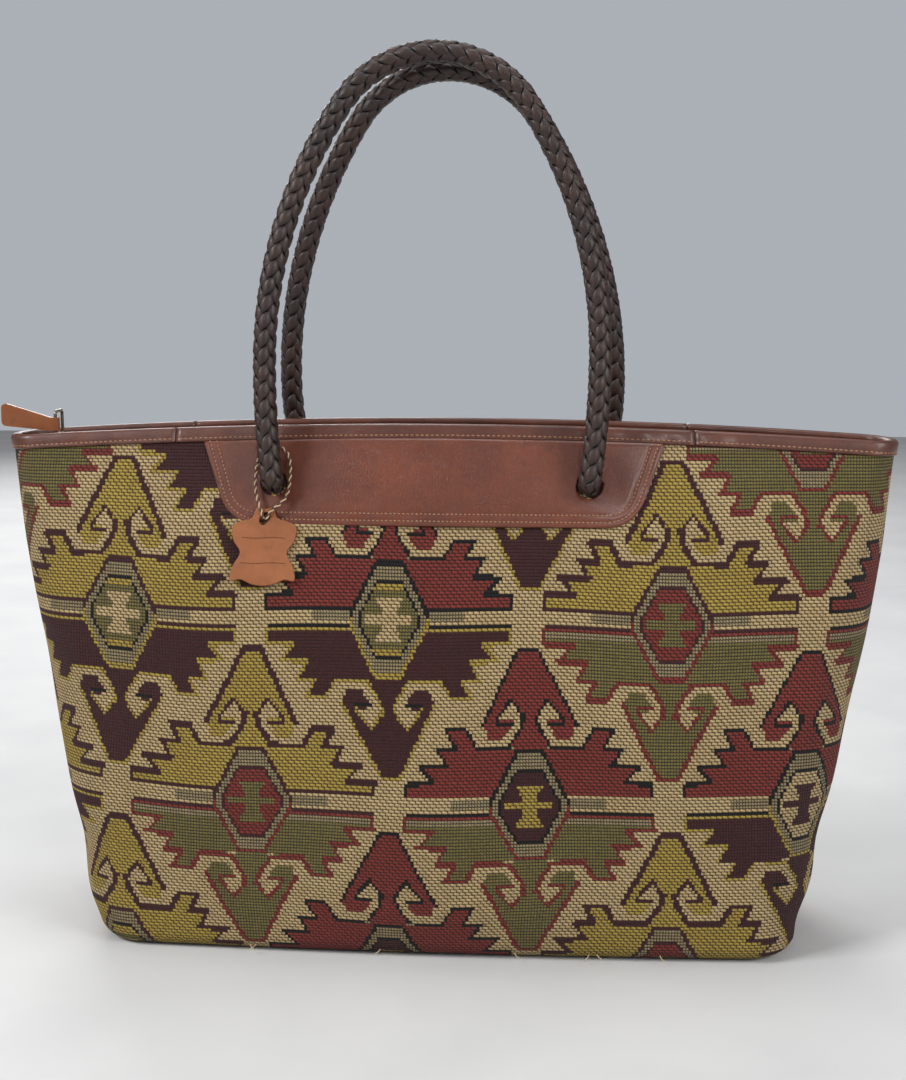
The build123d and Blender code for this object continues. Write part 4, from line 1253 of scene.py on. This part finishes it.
def metal_material(name, tone, worn_tone, rough):
    """Plated metal, worn and dulled in patches."""
    m = Nodes(name)
    place = m.place()
    wear = m.noise(320.0, 5.0, place, 0.65)
    color = m.mix(m.span(wear, 0.4, 0.7), linear(*tone), linear(*worn_tone))
    m.bump(m.noise(2600.0, 3.0, place), 0.00004, 0.5)
    return m.finish(color=color, metal=1.0, rough=m.span(wear, 0.3, 0.7, rough - 0.08, rough + 0.15))


zip_tape_cloth = cloth_material("zip_tape_cloth", (96, 58, 40), (62, 36, 25), 0.7, 0.0002)
lining_cloth = cloth_material("lining_cloth", (92, 78, 62), (66, 54, 42), 0.5, 0.0001)
base_cloth = cloth_material("base_cloth", (70, 56, 42), (40, 32, 24), 0.9, 0.0003)
board = cloth_material("board", (58, 54, 50), (44, 41, 38), 2.2, 0.00005)
zip_brass = metal_material("zip_brass", (168, 142, 96), (112, 92, 62), 0.34)
ring_metal = metal_material("ring_metal", (150, 142, 128), (96, 88, 78), 0.3)
FINISHES = (
    (base_cloth, ("base_panel",)),
    (board, ("base_board",)),
    (lining_cloth, ("lining",)),
    (zip_tape_cloth, ("zip_tape_front", "zip_tape_back")),
    (zip_brass, ("zip_teeth_front", "zip_teeth_back", "zip_stops", "zip_slider")),
    (ring_metal, ("zip_pull_ring",)),
    (pull_leather, ("zip_pull_tab",)),
)
for finish, nodes in FINISHES:
    for node in nodes:
        data = frame["nodes"][node].data
        data.materials.clear()
        data.materials.append(finish)


# Stray yarn ends along the bottom seam, as (place across the front, length, side they bend to)
YARN_ENDS = ((-98, 6, 1), (-95, 4, -1), (39, 5, 1), (77, 7, -1), (81, 4, 1), (113, 6, 1), (-30, 4, -1))
YARN_DROP = 4.08


def make_yarn_ends():
    """Short bent yarns that start in the toe of the front."""
    parts = []
    for x, length, bend in YARN_ENDS:
        start = beside(x, TOE, 0.0)
        line = []
        for k in range(5):
            step = (bend * 0.9 * k * (1 + 0.3 * k) / 3, -0.6 - 0.45 * k, -YARN_DROP - length * k / 9)
            line.append(start + np.array(step))
        parts.append(round_tube(Path(line, first_normal=(0, 1, 0)), 14, 6, 0.22, 0.05, 5))
    obj = new_mesh("seam_yarn_ends", *join_meshes(parts))
    add_piece(obj, "bag", cord_pale)


make_yarn_ends()


# Camera, fitted to the photograph
def place_camera():
    """Camera at the distance, height and angles that lay the frame over the photograph."""
    distance, height, sideways = 0.79, 0.335, 0.003
    pitch, yaw, roll = math.radians(9.1), math.radians(3.7), math.radians(0.1)
    data = bpy.data.cameras.new("camera")
    camera = link("camera", data)
    data.sensor_width = 36.0
    data.lens = 50.0
    along = Vector((-math.sin(yaw), math.cos(yaw), 0.0))
    right = Vector((math.cos(yaw), math.sin(yaw), 0.0))
    place = -distance * along + sideways * right
    camera.location = (place.x, place.y, height)
    forward = along * math.cos(pitch) + Vector((0, 0, -math.sin(pitch)))
    up = right.cross(forward)
    turned = Matrix.Rotation(-roll, 3, forward)
    right, up = turned @ right, turned @ up
    camera.rotation_euler = Matrix((right, up, -forward)).transposed().to_euler()
    bpy.context.scene.camera = camera


def place_lamp(name, place, size, power, target=(0, 0, 0.2)):
    """White soft box turned to its target."""
    data = bpy.data.lights.new(name, "AREA")
    data.shape = "RECTANGLE"
    data.size, data.size_y = size
    data.energy = power
    lamp = link(name, data)
    lamp.location = place
    lamp.rotation_euler = (Vector(target) - Vector(place)).to_track_quat("-Z", "Y").to_euler()


def place_stage():
    """Pale floor, and a world that shows a pale wall to the camera and lights only softly."""
    reach = 3000
    corners = [(-reach, -reach, 0), (reach, -reach, 0), (reach, reach, 0), (-reach, reach, 0)]
    floor = new_mesh("floor", corners, [(0, 1, 2, 3)])
    floor.location.z = -0.0003
    m = Nodes("floor")
    grain = m.noise(60.0, 4.0)
    color = m.mix(m.span(grain, 0.3, 0.7), (0.60, 0.60, 0.60, 1), (0.66, 0.66, 0.655, 1))
    floor.data.materials.append(m.finish(color=color, rough=0.8))
    world = bpy.data.worlds.new("studio")
    bpy.context.scene.world = world
    world.use_nodes = True
    tree = world.node_tree
    connect = tree.links.new
    dim = tree.nodes["Background"]
    dim.inputs["Color"].default_value = (0.80, 0.84, 0.90, 1)
    dim.inputs["Strength"].default_value = 0.24
    wall = tree.nodes.new("ShaderNodeBackground")
    wall.inputs["Color"].default_value = (0.62, 0.66, 0.71, 1)
    wall.inputs["Strength"].default_value = 0.66
    rays = tree.nodes.new("ShaderNodeLightPath")
    seen = tree.nodes.new("ShaderNodeMath")
    seen.operation = "MAXIMUM"
    connect(rays.outputs["Is Camera Ray"], seen.inputs[0])
    connect(rays.outputs["Is Transmission Ray"], seen.inputs[1])
    choose = tree.nodes.new("ShaderNodeMixShader")
    connect(seen.outputs[0], choose.inputs[0])
    connect(dim.outputs[0], choose.inputs[1])
    connect(wall.outputs[0], choose.inputs[2])
    connect(choose.outputs[0], tree.nodes["World Output"].inputs["Surface"])


place_camera()
place_stage()
place_lamp("key", (-1.7, -1.0, 1.7), (0.8, 0.8), 42)
place_lamp("fill", (1.7, -1.2, 1.25), (1.0, 1.0), 26)
place_lamp("streak", (0.3, -1.2, 1.14), (0.07, 0.5), 1.6, target=(0.09, 0, 0.25))
place_lamp("top", (0.1, 0.3, 1.9), (1.2, 0.8), 12)
place_lamp("rear", (-0.7, 1.9, 1.3), (1.2, 1.0), 24, target=(0, 0, 0.15))
bpy.context.scene.view_settings.view_transform = "Standard"
